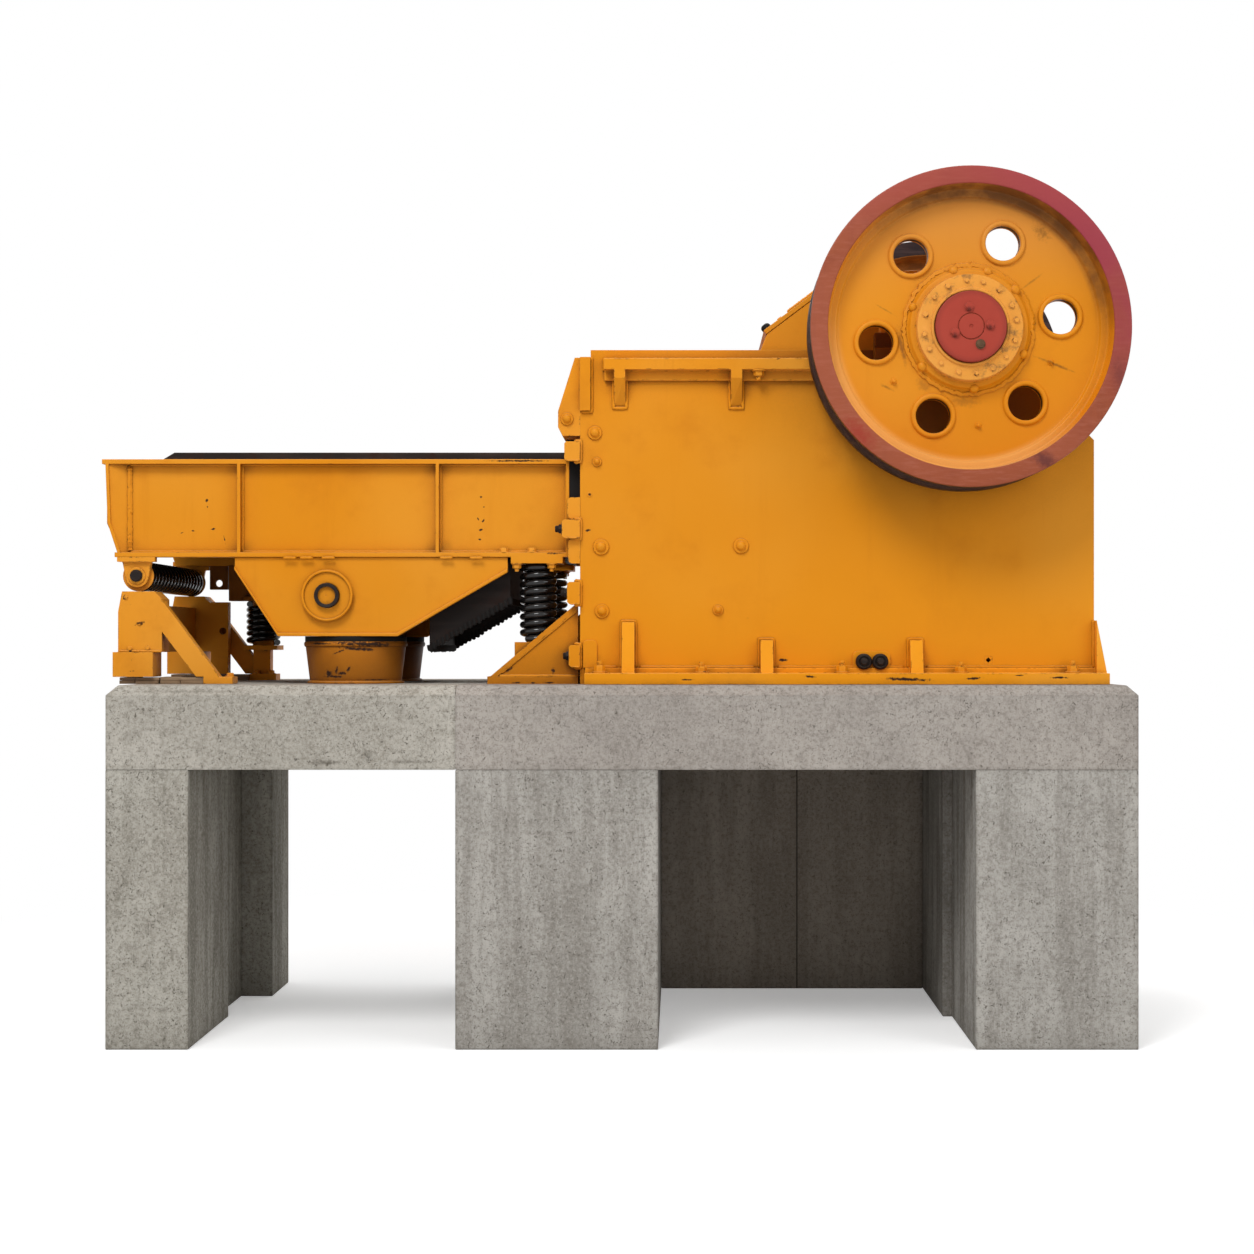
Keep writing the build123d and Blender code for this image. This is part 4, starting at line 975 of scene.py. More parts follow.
web_paint = enamel("web_paint", (216, 135, 16), (224, 148, 42), (196, 114, 10), wear=1.2, tint=web_tint)
greasy_orange = enamel("greasy_orange", (226, 152, 60), (234, 166, 84), (184, 122, 52), wear=1.8,
                       roughness=0.5, tint=flange_tint)
print("wheel finishes:", web_paint.name, greasy_orange.name)

# %% Cast the wheels
window_radius = 0.080
window_pitch_radius = 0.420
window_angles = [math.radians(8 + 60 * index) for index in range(6)]
window_places = [polar(window_pitch_radius, angle) for angle in window_angles]


@pair(web_paint, rim_paint, belt_iron, greasy_orange, body="rotor")
def flywheel_casting(bm, side):
    profile = wheel_profile()
    lathe(bm, profile + profile[:1], wheel_segments, on_wheel(side, 0, 0, 0))
    bmesh.ops.remove_doubles(bm, verts=bm.verts, dist=0.00002)


# %% Cut the windows
def cut_windows(wheel, side):
    drills = bmesh.new()
    for x, z in window_places:
        lathe(drills, [(0, 0), (window_radius, 0), (window_radius, 0.2), (0, 0.2)], 48,
              on_wheel(side, x, z, web_low - 0.05))
    bmesh.ops.recalc_face_normals(drills, faces=drills.faces)
    drill_mesh = bpy.data.meshes.new("window_drills")
    drills.to_mesh(drill_mesh)
    drills.free()
    drill = bpy.data.objects.new("window_drills", drill_mesh)
    bpy.context.collection.objects.link(drill)
    cut = wheel.modifiers.new("windows", "BOOLEAN")
    cut.operation = "DIFFERENCE"
    cut.solver = "EXACT"
    cut.object = drill
    bpy.context.view_layer.update()
    graph = bpy.context.evaluated_depsgraph_get()
    cut_mesh = bpy.data.meshes.new_from_object(wheel.evaluated_get(graph))
    wheel.modifiers.clear()
    wheel.data = cut_mesh
    bpy.data.objects.remove(drill)


for wheel, (side, name) in zip(flywheel_casting, both_sides):
    cut_windows(wheel, side)
    print(name, "flywheel faces with windows:", len(wheel.data.polygons))

# %% Give each face of the wheel its finish
def wheel_finish(centre):
    """0 is the web's paint, 1 the rim's, 2 bare iron and 3 the hub flange's greasy paint."""
    from_middle = (centre.x - shaft_x, centre.z - shaft_z)
    radius = math.hypot(*from_middle)
    out = abs(centre.y) - wheel_inner
    if radius > rim_inner and out > wheel_width - 0.008:
        return 1
    if radius > rim_inner + 0.01:
        return 2
    # The windows' bores take the dark iron as painted shade.
    if web_low + 0.002 < out < web_high - 0.002 and any(
            math.dist(from_middle, window) < window_radius + 0.001 for window in window_places):
        return 2
    return 3 if radius < flange_radius + 0.002 and out > web_high + 0.05 else 0


for wheel, (side, name) in zip(flywheel_casting, both_sides):
    for face in wheel.data.polygons:
        face.material_index = wheel_finish(face.center)
    wheel.data.shade_smooth()
    wheel.data.set_sharp_from_angle(angle=math.radians(28))
    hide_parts(name + "_flywheel")
    print(name, "flywheel faces of the rim's paint:",
          sum(face.material_index == 1 for face in wheel.data.polygons))

# %% [markdown]
# Round each window the casting has a raised lip. It could be part of the Boolean, but a lip is round in
# section, so it is turned as a small ring of its own and set over the edge of the hole. The same ring backs
# the web, where it shows through the other windows.

# %% Window lips
@pair(web_paint, body="rotor", sharp=60)
def window_lips(bm, side):
    lip = [(window_radius - 0.001, -0.012), (window_radius - 0.001, 0.005)]
    for step in range(1, 8):
        turn = math.pi * step / 8
        lip.append((window_radius + 0.010 - 0.011 * math.cos(turn), 0.005 + 0.009 * math.sin(turn)))
    lip += [(window_radius + 0.021, 0.002), (window_radius + 0.028, -0.002)]
    for x, z in window_places:
        for height, way in ((web_high, 1), (web_low, -1)):
            lathe(bm, lip, 48, turned((shaft_x + x, side * (wheel_inner + height), shaft_z + z),
                                      (0, side * way, 0)))


# %% [markdown]
# The hub holds the wheel on its shaft. Seven cast nubs and an uneven bead stand round its foot, and sixteen
# small bolts sit in the flange, which is stained grey-brown with old grease. Copies of one bolt in an array
# would look machine-made, so a loop varies each one's size a little, from a seeded draw.

# %% Hub bolts and nubs
nub_angles = (105, 72, 40, -25, -85, -141, 159)
nub_radius = 0.268
flange_bolt_count = 16
flange_bolt_radius = 0.209
web_studs = ((-0.336, -0.235), (0.372, -0.148), (0.045, -0.434))


@pair(web_paint, body="rotor", sharp=50)
def hub_nubs(bm, side):
    draw = random.Random(11)
    for angle in nub_angles:
        size = draw.uniform(0.017, 0.023)
        nub = [(size * 1.2, -0.024), (size * 1.1, 0.002), (size, 0.010), (size * 0.7, 0.016), (0, 0.019)]
        lathe(bm, nub, 16, on_wheel(side, *polar(nub_radius, math.radians(angle)), web_high + 0.024))
    for x, z in web_studs:
        tip = [(0.017, -0.004), (0.015, 0.003), (0.009, 0.006), (0.008, 0.016), (0.005, 0.021), (0, 0.022)]
        lathe(bm, tip, 14, on_wheel(side, x, z, web_high))
    ring_weld(bm, on_wheel(side, 0, 0, web_high + 0.001), hub_radius + 0.012, 0.013, 0.3)
    ring_weld(bm, on_wheel(side, 0, 0, web_high + 0.041), flange_radius + 0.004, 0.004, 0.3)


@pair(greasy_orange, body="rotor")
def flange_bolts(bm, side):
    draw = random.Random(23)
    for index in range(flange_bolt_count):
        turn = math.radians(360 * (index + draw.uniform(0.2, 0.4)) / flange_bolt_count)
        hex_bolt(bm, on_wheel(side, *polar(flange_bolt_radius, turn), flange_face),
                 draw.uniform(0.016, 0.022), draw.uniform(0.008, 0.012), 1.25)


# %% [markdown]
# A red cap closes each end of the shaft. It has a softly rounded edge, a turned circle in the middle with a
# centre mark, and four bolts that aren't quite evenly placed, one of them replaced and left unpainted. A
# flat disc with the circle in its material would look printed, because the groove couldn't shade itself.
# The groove is in the lathe's profile instead, and the odd bolt takes a second material on its own faces.

# %% Hub caps
cap_radius = 0.160
cap_boss_height = 0.014
cap_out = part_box("hub_caps")[1].y - cap_boss_height - wheel_inner
cap_bolts = ((96, 0.088), (4, 0.084), (-63, 0.090), (-158, 0.078))
unpainted_bolt = -63
circle_radius = 0.056
mark_radius = 0.010


def cap_bolt_shadows_and_band(tree, paint):
    """Painted shadow under each bolt and a darker band round the edge."""
    reach = wheel_place(tree)[2]
    paint = blend(spread(reach, cap_radius - 0.03, cap_radius, 0, 0.35), paint, (112, 40, 34))
    for degrees, radius in cap_bolts:
        x, z = polar(radius, math.radians(degrees))
        # Painted shadow: a dark smudge just below each bolt.
        paint = torn_marks(tree, paint, ((52, 22, 20), 0.75, x - 0.003, z - 0.013, 0.025, 0.022, 0, 0.5))
    return paint


red_paint = enamel("red_paint", (164, 62, 48), (178, 76, 60), (128, 42, 36), wear=0.3, tint=cap_bolt_shadows_and_band)


@pair(red_paint, bolt_steel, body="rotor", replaces="hub_caps")
def hub_cap(bm, side):
    depth = cap_out - flange_face
    corners = [(0.0, -0.010, 0), (cap_radius, -0.010, 0.001), (cap_radius, depth, 0.007),
               (circle_radius + 0.005, depth, 0.0015), (circle_radius + 0.003, depth - 0.004, 0.001),
               (circle_radius, depth - 0.004, 0.001), (circle_radius - 0.001, depth + 0.002, 0.001),
               (mark_radius, depth + 0.002, 0.001), (mark_radius - 0.003, depth - 0.003, 0.001),
               (0.0, depth - 0.003, 0)]
    lathe(bm, rounded_profile(corners), 96, on_wheel(side, 0, 0, flange_face))
    for degrees, radius in cap_bolts:
        painted_faces = len(bm.faces)
        hex_bolt(bm, on_wheel(side, *polar(radius, math.radians(degrees)), cap_out), 0.033, 0.0135, 1.15)
        if degrees == unpainted_bolt:
            bm.faces.ensure_lookup_table()
            for face in bm.faces[painted_faces:]:
                face.material_index = 1


# %% [markdown]
# Liner bolts pass through the side plate and hold the cheek plates inside. They were painted with the
# plate, so they are orange, with soft edges. Hexagon nuts hold the base down on its anchors. Instances of
# one bolt object would save memory, but then every bolt would have one size and an export would have to
# unpack them. So a table gives each bolt its place and size, and one mesh holds a side's bolts. Both sides
# of a crusher are built alike, so a pair makes both.

# %% Liner bolts and anchor bolts
flange_top = slab_top + 0.052
strip_top = flange_top + 0.024
flange_width = 0.125
liner_bolt_places = ((-0.265, 2.874, 0.030, 0.020), (-0.135, 2.809, 0.033, 0.022),
                     (-0.125, 2.674, 0.022, 0.014), (-0.107, 2.278, 0.038, 0.024),
                     (0.545, 2.283, 0.036, 0.023), (-0.102, 1.980, 0.034, 0.022),
                     (0.438, 1.985, 0.025, 0.017))
anchor_places = (-0.110, 0.360, 1.010, 1.560, 2.077)
rail_top = plate_top - 0.048
rail_bottom = rail_top - 0.051
rail_nut = (0.626, 0.677)
eyelet = (-0.160, 2.522)


@pair(orange_paint, sharp=40)
def liner_bolts(bm, side):
    for x, z, washer_radius, head_radius in liner_bolt_places:
        domed_bolt(bm, outward(side, x, outer_face, z), washer_radius, head_radius, 0.030)
    lathe(bm, [(0.013, -0.002), (0.012, 0.002), (0.008, 0.003), (0.006, -0.002)], 16,
          outward(side, eyelet[0], outer_face, eyelet[1]))


@pair(worn_orange)
def anchor_bolts(bm, side):
    y = side * (outer_face + flange_width * 0.52)
    for index, x in enumerate(anchor_places):
        hex_bolt(bm, upright(x, y, flange_top), 0.046, 0.030 if index % 2 else 0.036, 1.35,
                 (0.014, 0.022, 0.006))
    hex_bolt(bm, hanging(rail_nut[0], side * rail_nut[1], rail_bottom), 0.044, 0.030, 1.3,
             (0.014, 0.018, 0.006))


# %% [markdown]
# The service hole low in the near plate is square, and its cover has a small diamond hole, through which
# only the dark shows. The cover could be a plane with a black diamond painted on it, but then light from the
# side would fall on the black. So it is a real ring: eight points round the square, eight round the diamond.

# %% Cover of the service hole
hole_x = crusher_front + 1.900
hole_z = slab_top + 0.112
cover_half = 0.0178
diamond_half = 0.0130
cover_depth = 0.010


@piece(plate_orange)
def service_hole_cover(bm):
    square = (cover_half, cover_half * math.sqrt(2))
    diamond = (diamond_half, diamond_half * math.sqrt(0.5))
    rings = []
    for reaches, depth in ((square, 0), (square, cover_depth), (diamond, cover_depth), (diamond, 0)):
        points = [polar(reaches[step % 2], math.pi * step / 4) for step in range(8)]
        rings.append([bm.verts.new((hole_x + x, depth - outer_face, hole_z + z)) for x, z in points])
    for ring, following in zip(rings, rings[1:] + rings[:1]):
        bridge(bm, ring, following)


# %% [markdown]
# The seams of the frame. Every gusset, rail, bracket and rib is welded on, and the bead runs down one side,
# across the end and up the other. A bead could be found from the mesh, by looking for its inner edges, but a
# welder chooses which edges to weld. So the paths are written out here, from the sizes of the plates that
# they join, and the weld tool follows them.

# %% Weld the frame
gusset_width = 0.058
gussets = ((0.196, 0.212), (0.838, 0.129), (1.531, 0.129))
end_gusset_height = 0.222
rail_start = 0.114
rail_length = 1.190
bracket_width = 0.052
bracket_height = 0.166
brackets = (0.160, 0.701)
rib_width = 0.049
rib_low = plate_top - 0.400 + 0.116
rib_high = plate_top - 0.035
foot_pad_right = 0.079


@pair(orange_paint, sharp=80)
def frame_welds(bm, side):
    def seam(*corners):
        weld(bm, [(x, side * (outer_face + 0.003), z) for x, z in corners], 0.0075)

    starts = [crusher_front + foot_pad_right + 0.02]
    ends = []
    for from_front, height in gussets:
        left = crusher_front + from_front - 0.004
        right = left + gusset_width + 0.008
        top = strip_top + height + 0.004
        seam((left, strip_top), (left, top), (right, top), (right, strip_top))
        ends.append(left - 0.02)
        starts.append(right + 0.02)
    ends.append(crusher_rear - 0.005)
    for start, end in zip(starts, ends):
        seam((start, strip_top + 0.003), (end, strip_top + 0.003))
    seam((crusher_rear - 0.003, strip_top), (crusher_rear - 0.003, strip_top + end_gusset_height))
    rail_left = crusher_front + rail_start
    seam((rail_left - 0.003, rail_bottom), (rail_left - 0.003, rail_top + 0.003),
         (rail_left + rail_length, rail_top + 0.003))
    for from_front in brackets:
        left = crusher_front + from_front - 0.004
        right = left + bracket_width + 0.008
        low = rail_bottom - bracket_height - 0.006
        seam((left, rail_bottom), (left, low), (right, low), (right, rail_bottom))
    rib_right = crusher_front + rib_width + 0.004
    seam((rib_right, rib_high), (rib_right, rib_low - 0.004), (crusher_front + 0.004, rib_low - 0.004))


# %% [markdown]
# Two dark pins pass right through the bottom of the frame and hold its lower tie. A thick worn collar sits
# on each end. They stand close enough to read as one dark oval from a distance. A torus round the pin would
# be quick, but the real collar is stepped: a flat face, a sunk ring and the pin's end in the middle. The
# lathe turns all of it from one profile.

# %% Tie pin collars
pin_low, pin_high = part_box("tie_pins")
pin_radius = 0.025
pin_z = (pin_low.z + pin_high.z) / 2
pad_face = outer_face + 0.015
collar_radius = 0.0375


@pair(dark_steel)
def pin_collars(bm, side):
    for x in (pin_low.x + pin_radius, pin_high.x - pin_radius):
        lathe(bm, [(0, 0), (collar_radius, 0), (collar_radius, 0.022), (collar_radius - 0.006, 0.030),
                   (0.027, 0.031), (0.025, 0.024), (0.018, 0.023), (0.017, 0.034), (0.012, 0.038),
                   (0, 0.038)], 36, outward(side, x, pad_face, pin_z))
        hex_bolt(bm, outward(side, x, pad_face + 0.036, pin_z), 0.026, 0.010, 0)


# %% [markdown]
# Blocks on the front edge clamp the front wall between the side plates, and studs draw them together. On
# the solids a stud is a plain hexagon bar. The bolt tool above makes a real one from two parts, a nut on its
# washer and the thread that stands out of it, and that piece replaces the bar. Each block also gets the bead
# that holds it to the plate.

# %% Clamp studs
tie_blocks = ((0.080, 0.102, 0.051), (0.373, 0.102, 0.059), (0.680, 0.084, 0.083))
stud_reaches = (0.028, 0.030, 0.033)
hood_block = (1.039, 0.088, 0.072)
block_near = 0.598
block_width = 0.058


@pair(dark_steel, replaces="clamp_studs")
def clamp_nuts(bm, side):
    y = side * (block_near + block_width / 2)
    for (bottom, height, depth), reach in zip(tie_blocks, stud_reaches):
        nut = reach * 0.5
        placed = turned((crusher_front - depth, y, slab_top + bottom + height / 2), (-1, 0, 0))
        hex_bolt(bm, placed, 0.041, nut, 1.2, (0.0165, reach - nut, 0.005))


@pair(worn_orange, sharp=80)
def clamp_welds(bm, side):
    x = crusher_front + 0.002
    inner = side * outer_face
    corner = side * (outer_face + 0.004)
    outer = side * (block_near + block_width)
    for bottom, height, depth in (*tie_blocks, hood_block):
        low = slab_top + bottom
        weld(bm, [(x - 0.03, inner, low - 0.004), (x, corner, low - 0.004), (x, corner, low + height + 0.004),
                  (x - 0.03, inner, low + height + 0.004)], 0.0085)
        weld(bm, [(x - depth + 0.012, outer, low), (x - 0.004, outer, low)], 0.004)


# %% [markdown]
# The feeder's trough is a welded box girder, so its seams run in every inner corner of the side walls, and
# a bead follows each stiffener. A few short tack welds hold the exciter plates below it. The beads could
# all have one size, but a girder's main seams are heavy and its stiffeners' are light, and that difference
# shows, so each run has a size of its own.

# %% Weld the feeder
feeder_low, feeder_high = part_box("near_feeder_side")
exciter_low, exciter_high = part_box("exciter_tube")
flange_overhang = 0.009
feeder_rear = feeder_low.x + flange_overhang
feeder_end = feeder_high.x
feeder_top = feeder_high.z
feeder_bottom = feeder_top - 0.457
flange_edge = -feeder_low.y
web_back = flange_edge - 0.045
flange_thickness = 0.022
under_flange = feeder_top - flange_thickness
over_flange = feeder_bottom + flange_thickness
end_post = 0.014
stiffeners = (0.630, 1.558)
exciter_outer = exciter_high.y - 0.007
tack_places = (-1.560, -1.482, -1.380, -0.830, -0.690)
tack_half = 0.03
wing_reach = 0.112


@pair(orange_paint, sharp=80)
def feeder_welds(bm, side):
    def seam(start, end, size):
        weld(bm, [(x, side * (web_back + 0.003), z) for x, z in (start, end)], size)

    left = feeder_rear + wing_reach
    right = feeder_end - end_post - 0.003
    seam((left, under_flange - 0.003), (right, under_flange - 0.003), 0.005)
    seam((left, over_flange + 0.003), (right, over_flange + 0.003), 0.0075)
    seam((right, over_flange), (right, under_flange), 0.005)
    for from_rear in stiffeners:
        for way, size in ((1, 0.007), (-1, 0.004)):
            x = feeder_rear + from_rear + way * 0.010
            seam((x, over_flange), (x, under_flange), size)
    edge = side * (exciter_outer + 0.001)
    low = feeder_bottom - 0.004
    for x in tack_places:
        weld(bm, [(x - tack_half, edge, low), (x + tack_half, edge, low)], 0.006)


# %% [markdown]
# At each rear corner a plate slants from the end post in to the web, and is cut off below like the post.
# It could be a thin sheet, but nothing shows behind it, so it is a wedge filled back to the web. Its foot is
# shorter than its top. Three rows of four corners give that outline, and bridge makes the faces between.

# %% Feeder wings
wing_shift = 0.060
wing_knee = feeder_bottom + 0.158


@pair(scarred_shaded_orange)
def feeder_wing(bm, side):
    """Plate that slants from the rear post in to the web, cut like the post at its lower corner."""
    left = feeder_rear + end_post
    right = feeder_rear + wing_reach
    inner = web_back + 0.001
    edge = side * (flange_edge - 0.006)
    back = side * (inner - 0.006)
    rings = []
    for start, z in ((left, under_flange), (left, wing_knee), (left + wing_shift, over_flange)):
        corners = ((start, edge), (right, side * inner), (right, back), (start, back))
        rings.append([bm.verts.new((x, y, z)) for x, y in corners])
    for upper, lower in zip(rings, rings[1:]):
        bridge(bm, upper, lower)
    bm.faces.new(rings[0])
    bm.faces.new(rings[-1])
    seam = side * (inner + 0.001)
    weld(bm, [(right, seam, over_flange), (right, seam, under_flange)], 0.011)


# %% [markdown]
# The spring pads hang on bolts through the bottom flange, some with the head above it and some with the nut
# and thread below. They could be plain cylinders, but a thread catches the light ring by ring, so the bolt
# tool makes them too.

# %% Pad bolts
pad_bottom = feeder_low.z
pad_bolts_above = (-0.563, -0.432)
pad_bolts_below = (-0.503, -0.339)


@pair(worn_orange)
def pad_bolts(bm, side):
    y = side * (flange_edge - 0.022)
    for x in pad_bolts_above:
        hex_bolt(bm, upright(x, y, over_flange), 0.036, 0.022, 1.2)
    for x in pad_bolts_below:
        hex_bolt(bm, hanging(x, y, pad_bottom), 0.036, 0.024, 1.3, (0.011, 0.014, 0.004))


# %% [markdown]
# The exciter shakes the feeder. Its shaft ends in a round boss on each side: a flat turned ring, a dark
# greasy seal sunk in it and the shaft's end with a centre mark. A dark circle painted on the boss would do
# from far off. But the seal is another material in a groove, so it is turned as its own ring, which keeps
# its edge clean and casts the thin shadow beside it.

# %% Exciter seals
exciter_x = (exciter_low.x + exciter_high.x) / 2
exciter_z = (exciter_low.z + exciter_high.z) / 2
boss_face = exciter_outer + 0.022
boss_weld_radius = 0.114
bore_wall = 0.0575
shaft_wall = 0.0415


@pair(dark_steel)
def exciter_seal(bm, side):
    ring = [(shaft_wall, -0.010), (bore_wall, -0.010), (bore_wall, 0.001), (bore_wall - 0.003, 0.003),
            (shaft_wall + 0.004, 0.002), (shaft_wall, 0.001), (shaft_wall, -0.010)]
    lathe(bm, ring, 64, outward(side, exciter_x, boss_face, exciter_z))


@pair(orange_paint, sharp=60)
def exciter_boss_weld(bm, side):
    ring_weld(bm, outward(side, exciter_x, exciter_outer + 0.003, exciter_z), boss_weld_radius, 0.006)
    mark = [(0, -0.001), (0.006, -0.001), (0.006, 0.002), (0.003, 0.003), (0.002, 0.001), (0, 0.001)]
    lathe(bm, mark, 20, outward(side, exciter_x, boss_face + 0.010, exciter_z))


# %% [markdown]
# The feeder's front end stands on two helical springs, and a third stands at the far rear. A stack of tori
# would be simpler, and so would Blender's Screw modifier. But a real spring is one bar wound to a helix with
# a closed turn at each end, and the way its turns cross the light is what makes it read as a spring. So a
# loop works out the helix, and the sweep draws the bar along it. The pitch closes to one bar's thickness at
# both ends, and a cup on each seat holds the end turn in its place.

# %% Wind a spring
wire_radius = 0.0155
coil_radius = 0.088 - wire_radius
points_per_turn = 30
closed_turns = 0.75
front_turns = 9.25
far_turns = 6.5
spring_from_end = 0.151
spring_from_edge = 0.110
front_spring = (feeder_end - spring_from_end, flange_edge - spring_from_edge)
front_seat = slab_top + 0.196
far_spring = (feeder_rear + 0.520, web_back + 0.014)
far_seat = slab_top + 0.1805
far_spring_height = 0.230
first_turns = {-1: math.radians(-133), 1: math.radians(47)}


def wind(bm, x, y, bottom, top, turns, start):
    low = bottom + wire_radius
    high = top - wire_radius
    closed_rise = 2 * wire_radius * closed_turns
    free = high - low - 2 * closed_rise
    count = int(turns * points_per_turn)
    points = []
    for index in range(count + 1):
        turn = turns * index / count
        if turn < closed_turns:
            z = low + closed_rise * (turn / closed_turns) ** 2
        elif turn > turns - closed_turns:
            z = high - closed_rise * ((turns - turn) / closed_turns) ** 2
        else:
            z = low + closed_rise + free * (turn - closed_turns) / (turns - 2 * closed_turns)
        across, along = polar(coil_radius, start + 2 * math.pi * turn)
        points.append((x + across, y + along, z))
    sweep(bm, points, [wire_radius] * len(points), 14)


print("a front spring is", round(pad_bottom - front_seat, 3), "m high")

# %% Springs and their cups
@piece(worn_orange)
def spring_cups(bm):
    """Low ring and spigot on each seat, and the same upside down under the feeder."""
    inside = coil_radius - wire_radius - 0.002
    cup = [(0, -0.004), (inside, -0.004), (inside, 0.022), (inside - 0.006, 0.028), (0, 0.028)]
    x, y = front_spring
    for side, name in both_sides:
        lathe(bm, cup, 40, upright(x, side * y, front_seat))
        lathe(bm, cup, 40, hanging(x, side * y, pad_bottom))
    lathe(bm, cup, 40, upright(*far_spring, far_seat))
    lathe(bm, cup, 40, hanging(*far_spring, far_seat + far_spring_height))


@piece(spring_enamel, replaces="coil_springs")
def coil_spring_turns(bm):
    x, y = front_spring
    for side, name in both_sides:
        wind(bm, x, side * y, front_seat, pad_bottom, front_turns, first_turns[side])
    wind(bm, *far_spring, far_seat, far_seat + far_spring_height, far_turns, 0.0)


# %% [markdown]
# At the rear the feeder hangs on a pin, and a close-wound spring fills the whole width between the two
# lugs. It could be wound like the others, but its turns touch, so only their round backs show. That makes a
# turned profile right here: one bulge for each turn, and a collar at each end.

# %% Rear coil and its pin
rear_low, rear_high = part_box("rear_coil")
rear_x = (rear_low.x + rear_high.x) / 2
rear_z = (rear_low.z + rear_high.z) / 2
rear_radius = (rear_high.z - rear_low.z) / 2
rear_turns = 16
rear_valley = 0.018
rear_core = 0.046
collar_width = 0.026
lug_face = web_back + 0.025
pin_half = 0.0285
bulge_steps = 6


@piece(spring_enamel, sharp=60, replaces="rear_coil")
def rear_coil_turns(bm):
    wound = rear_high.y - rear_low.y - 2 * collar_width
    pitch = wound / rear_turns
    profile = [(rear_core, 0)]
    for index in range(rear_turns):
        for step in range(bulge_steps + 1):
            share = step / bulge_steps
            bulge = math.sqrt(max(0.0, 1 - (2 * share - 1) ** 2))
            profile.append((rear_radius - 0.002 - rear_valley * (1 - bulge),
                            pitch * (index + 0.02 + 0.96 * share)))
    profile.append((rear_core, wound))
    lathe(bm, profile, 48, turned((rear_x, rear_low.y + collar_width, rear_z), (0, 1, 0)))


@piece(worn_orange)
def rear_coil_collars(bm):
    ring = [(0.030, 0), (rear_radius - 0.001, 0), (rear_radius - 0.001, 0.010), (rear_radius - 0.006, 0.013),
            (rear_radius - 0.016, 0.014), (rear_radius - 0.020, 0.024), (0.030, 0.024), (0.030, 0)]
    for y, way in ((rear_low.y + 0.001, 1), (rear_high.y - 0.001, -1)):
        lathe(bm, ring, 48, turned((rear_x, y, rear_z), (0, way, 0)))


@piece(dark_steel)
def rear_pin_ends(bm):
    end = [(0, -0.008), (0.0278, -0.008), (0.0278, 0), (0.024, 0.004), (0, 0.004)]
    for side, name in both_sides:
        lathe(bm, end, 8, outward(side, rear_x, flange_edge - 0.001, rear_z))


@piece(worn_orange)
def rear_pin_washers(bm):
    washer = [(pin_half, -0.002), (0.040, -0.002), (0.040, 0.007), (0.036, 0.010), (pin_half, 0.010),
              (pin_half, -0.002)]
    for side, name in both_sides:
        lathe(bm, washer, 36, outward(side, rear_x, lug_face, rear_z))


# %% [markdown]
# The stands are small weldments too. Each gets its beads, its anchor bolts and the bolts that show on the
# near panel. They could be modelled again with all that in them, but their plates are already in the frame's
# solids: a bead where two plates meet and a bolt where one is held make plain plates read as a built stand.

# %% Bolts and beads of the stands
stand_low, stand_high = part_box("front_stands")
rear_stand_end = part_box("near_rear_stand")[1].x
stand_base_top = slab_top + 0.035
brace_top = stand_base_top + 0.315
brace_left = stand_low.x + 0.046
brace_web = stand_high.y - 0.008
stand_right = rear_x + 0.019 + 0.1025
packing_top = slab_top + 0.033
foot_top = packing_top + 0.116
front_stand_bolts = ((-0.550, 0.560), (-0.300, 0.560))
panel_bolts = ((-2.327, 2.046), (-2.308, 1.806), (-2.224, 1.808), (-2.263, 1.925))
rear_bolt_insets = (0.030, 0.105)
rear_bolt_line = flange_edge - 0.090


@pair(worn_orange, sharp=80)
def stand_welds(bm, side):
    brace = side * (brace_web + 0.002)
    cheek = side * (flange_edge - 0.062)
    front = side * (flange_edge + 0.002)
    right = stand_high.x
    low = stand_base_top + 0.003
    edge = stand_right + 0.003
    foot = foot_top + 0.004
    for y, start, end, size in (
            (brace, (brace_left + 0.01, low), (right, low), 0.006),
            (brace, (brace_left + 0.02, stand_base_top + 0.016), (right - 0.005, brace_top - 0.006), 0.005),
            (cheek, (edge, foot_top + 0.11), (edge, foot_top + 0.24), 0.007),
            (front, (stand_right - 0.20, foot), (stand_right, foot), 0.0055)):
        weld(bm, [(x, y, z) for x, z in (start, end)], size)


@pair(worn_orange)
def stand_bolts(bm, side):
    for x, y in front_stand_bolts:
        hex_bolt(bm, upright(x, side * y, stand_base_top), 0.034, 0.022, 1.35, (0.010, 0.014, 0.004))
    for x, z in panel_bolts:
        hex_bolt(bm, outward(side, x, flange_edge, z), 0.017, 0.009, 1.2)
    for inset in rear_bolt_insets:
        hex_bolt(bm, upright(rear_stand_end - inset, side * rear_bolt_line, packing_top), 0.030, 0.018, 1.35)


# %% [markdown]
# Old timber packs up the rear stands. One box would look like a beam, while the real packing is odd pieces
# laid side by side: five widths of plank, two deep. Each plank is a prism with a gap and a height of its
# own, from a seeded draw, and the piece's bevel breaks its edges.

# %% Timber packing
packing_low, packing_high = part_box("wood_packing")
packing_depth = 0.160
plank_sizes = ((0.078, 0.92), (0.112, 1.0), (0.100, 0.9), (0.110, 0.97), (0.2, 0.9))


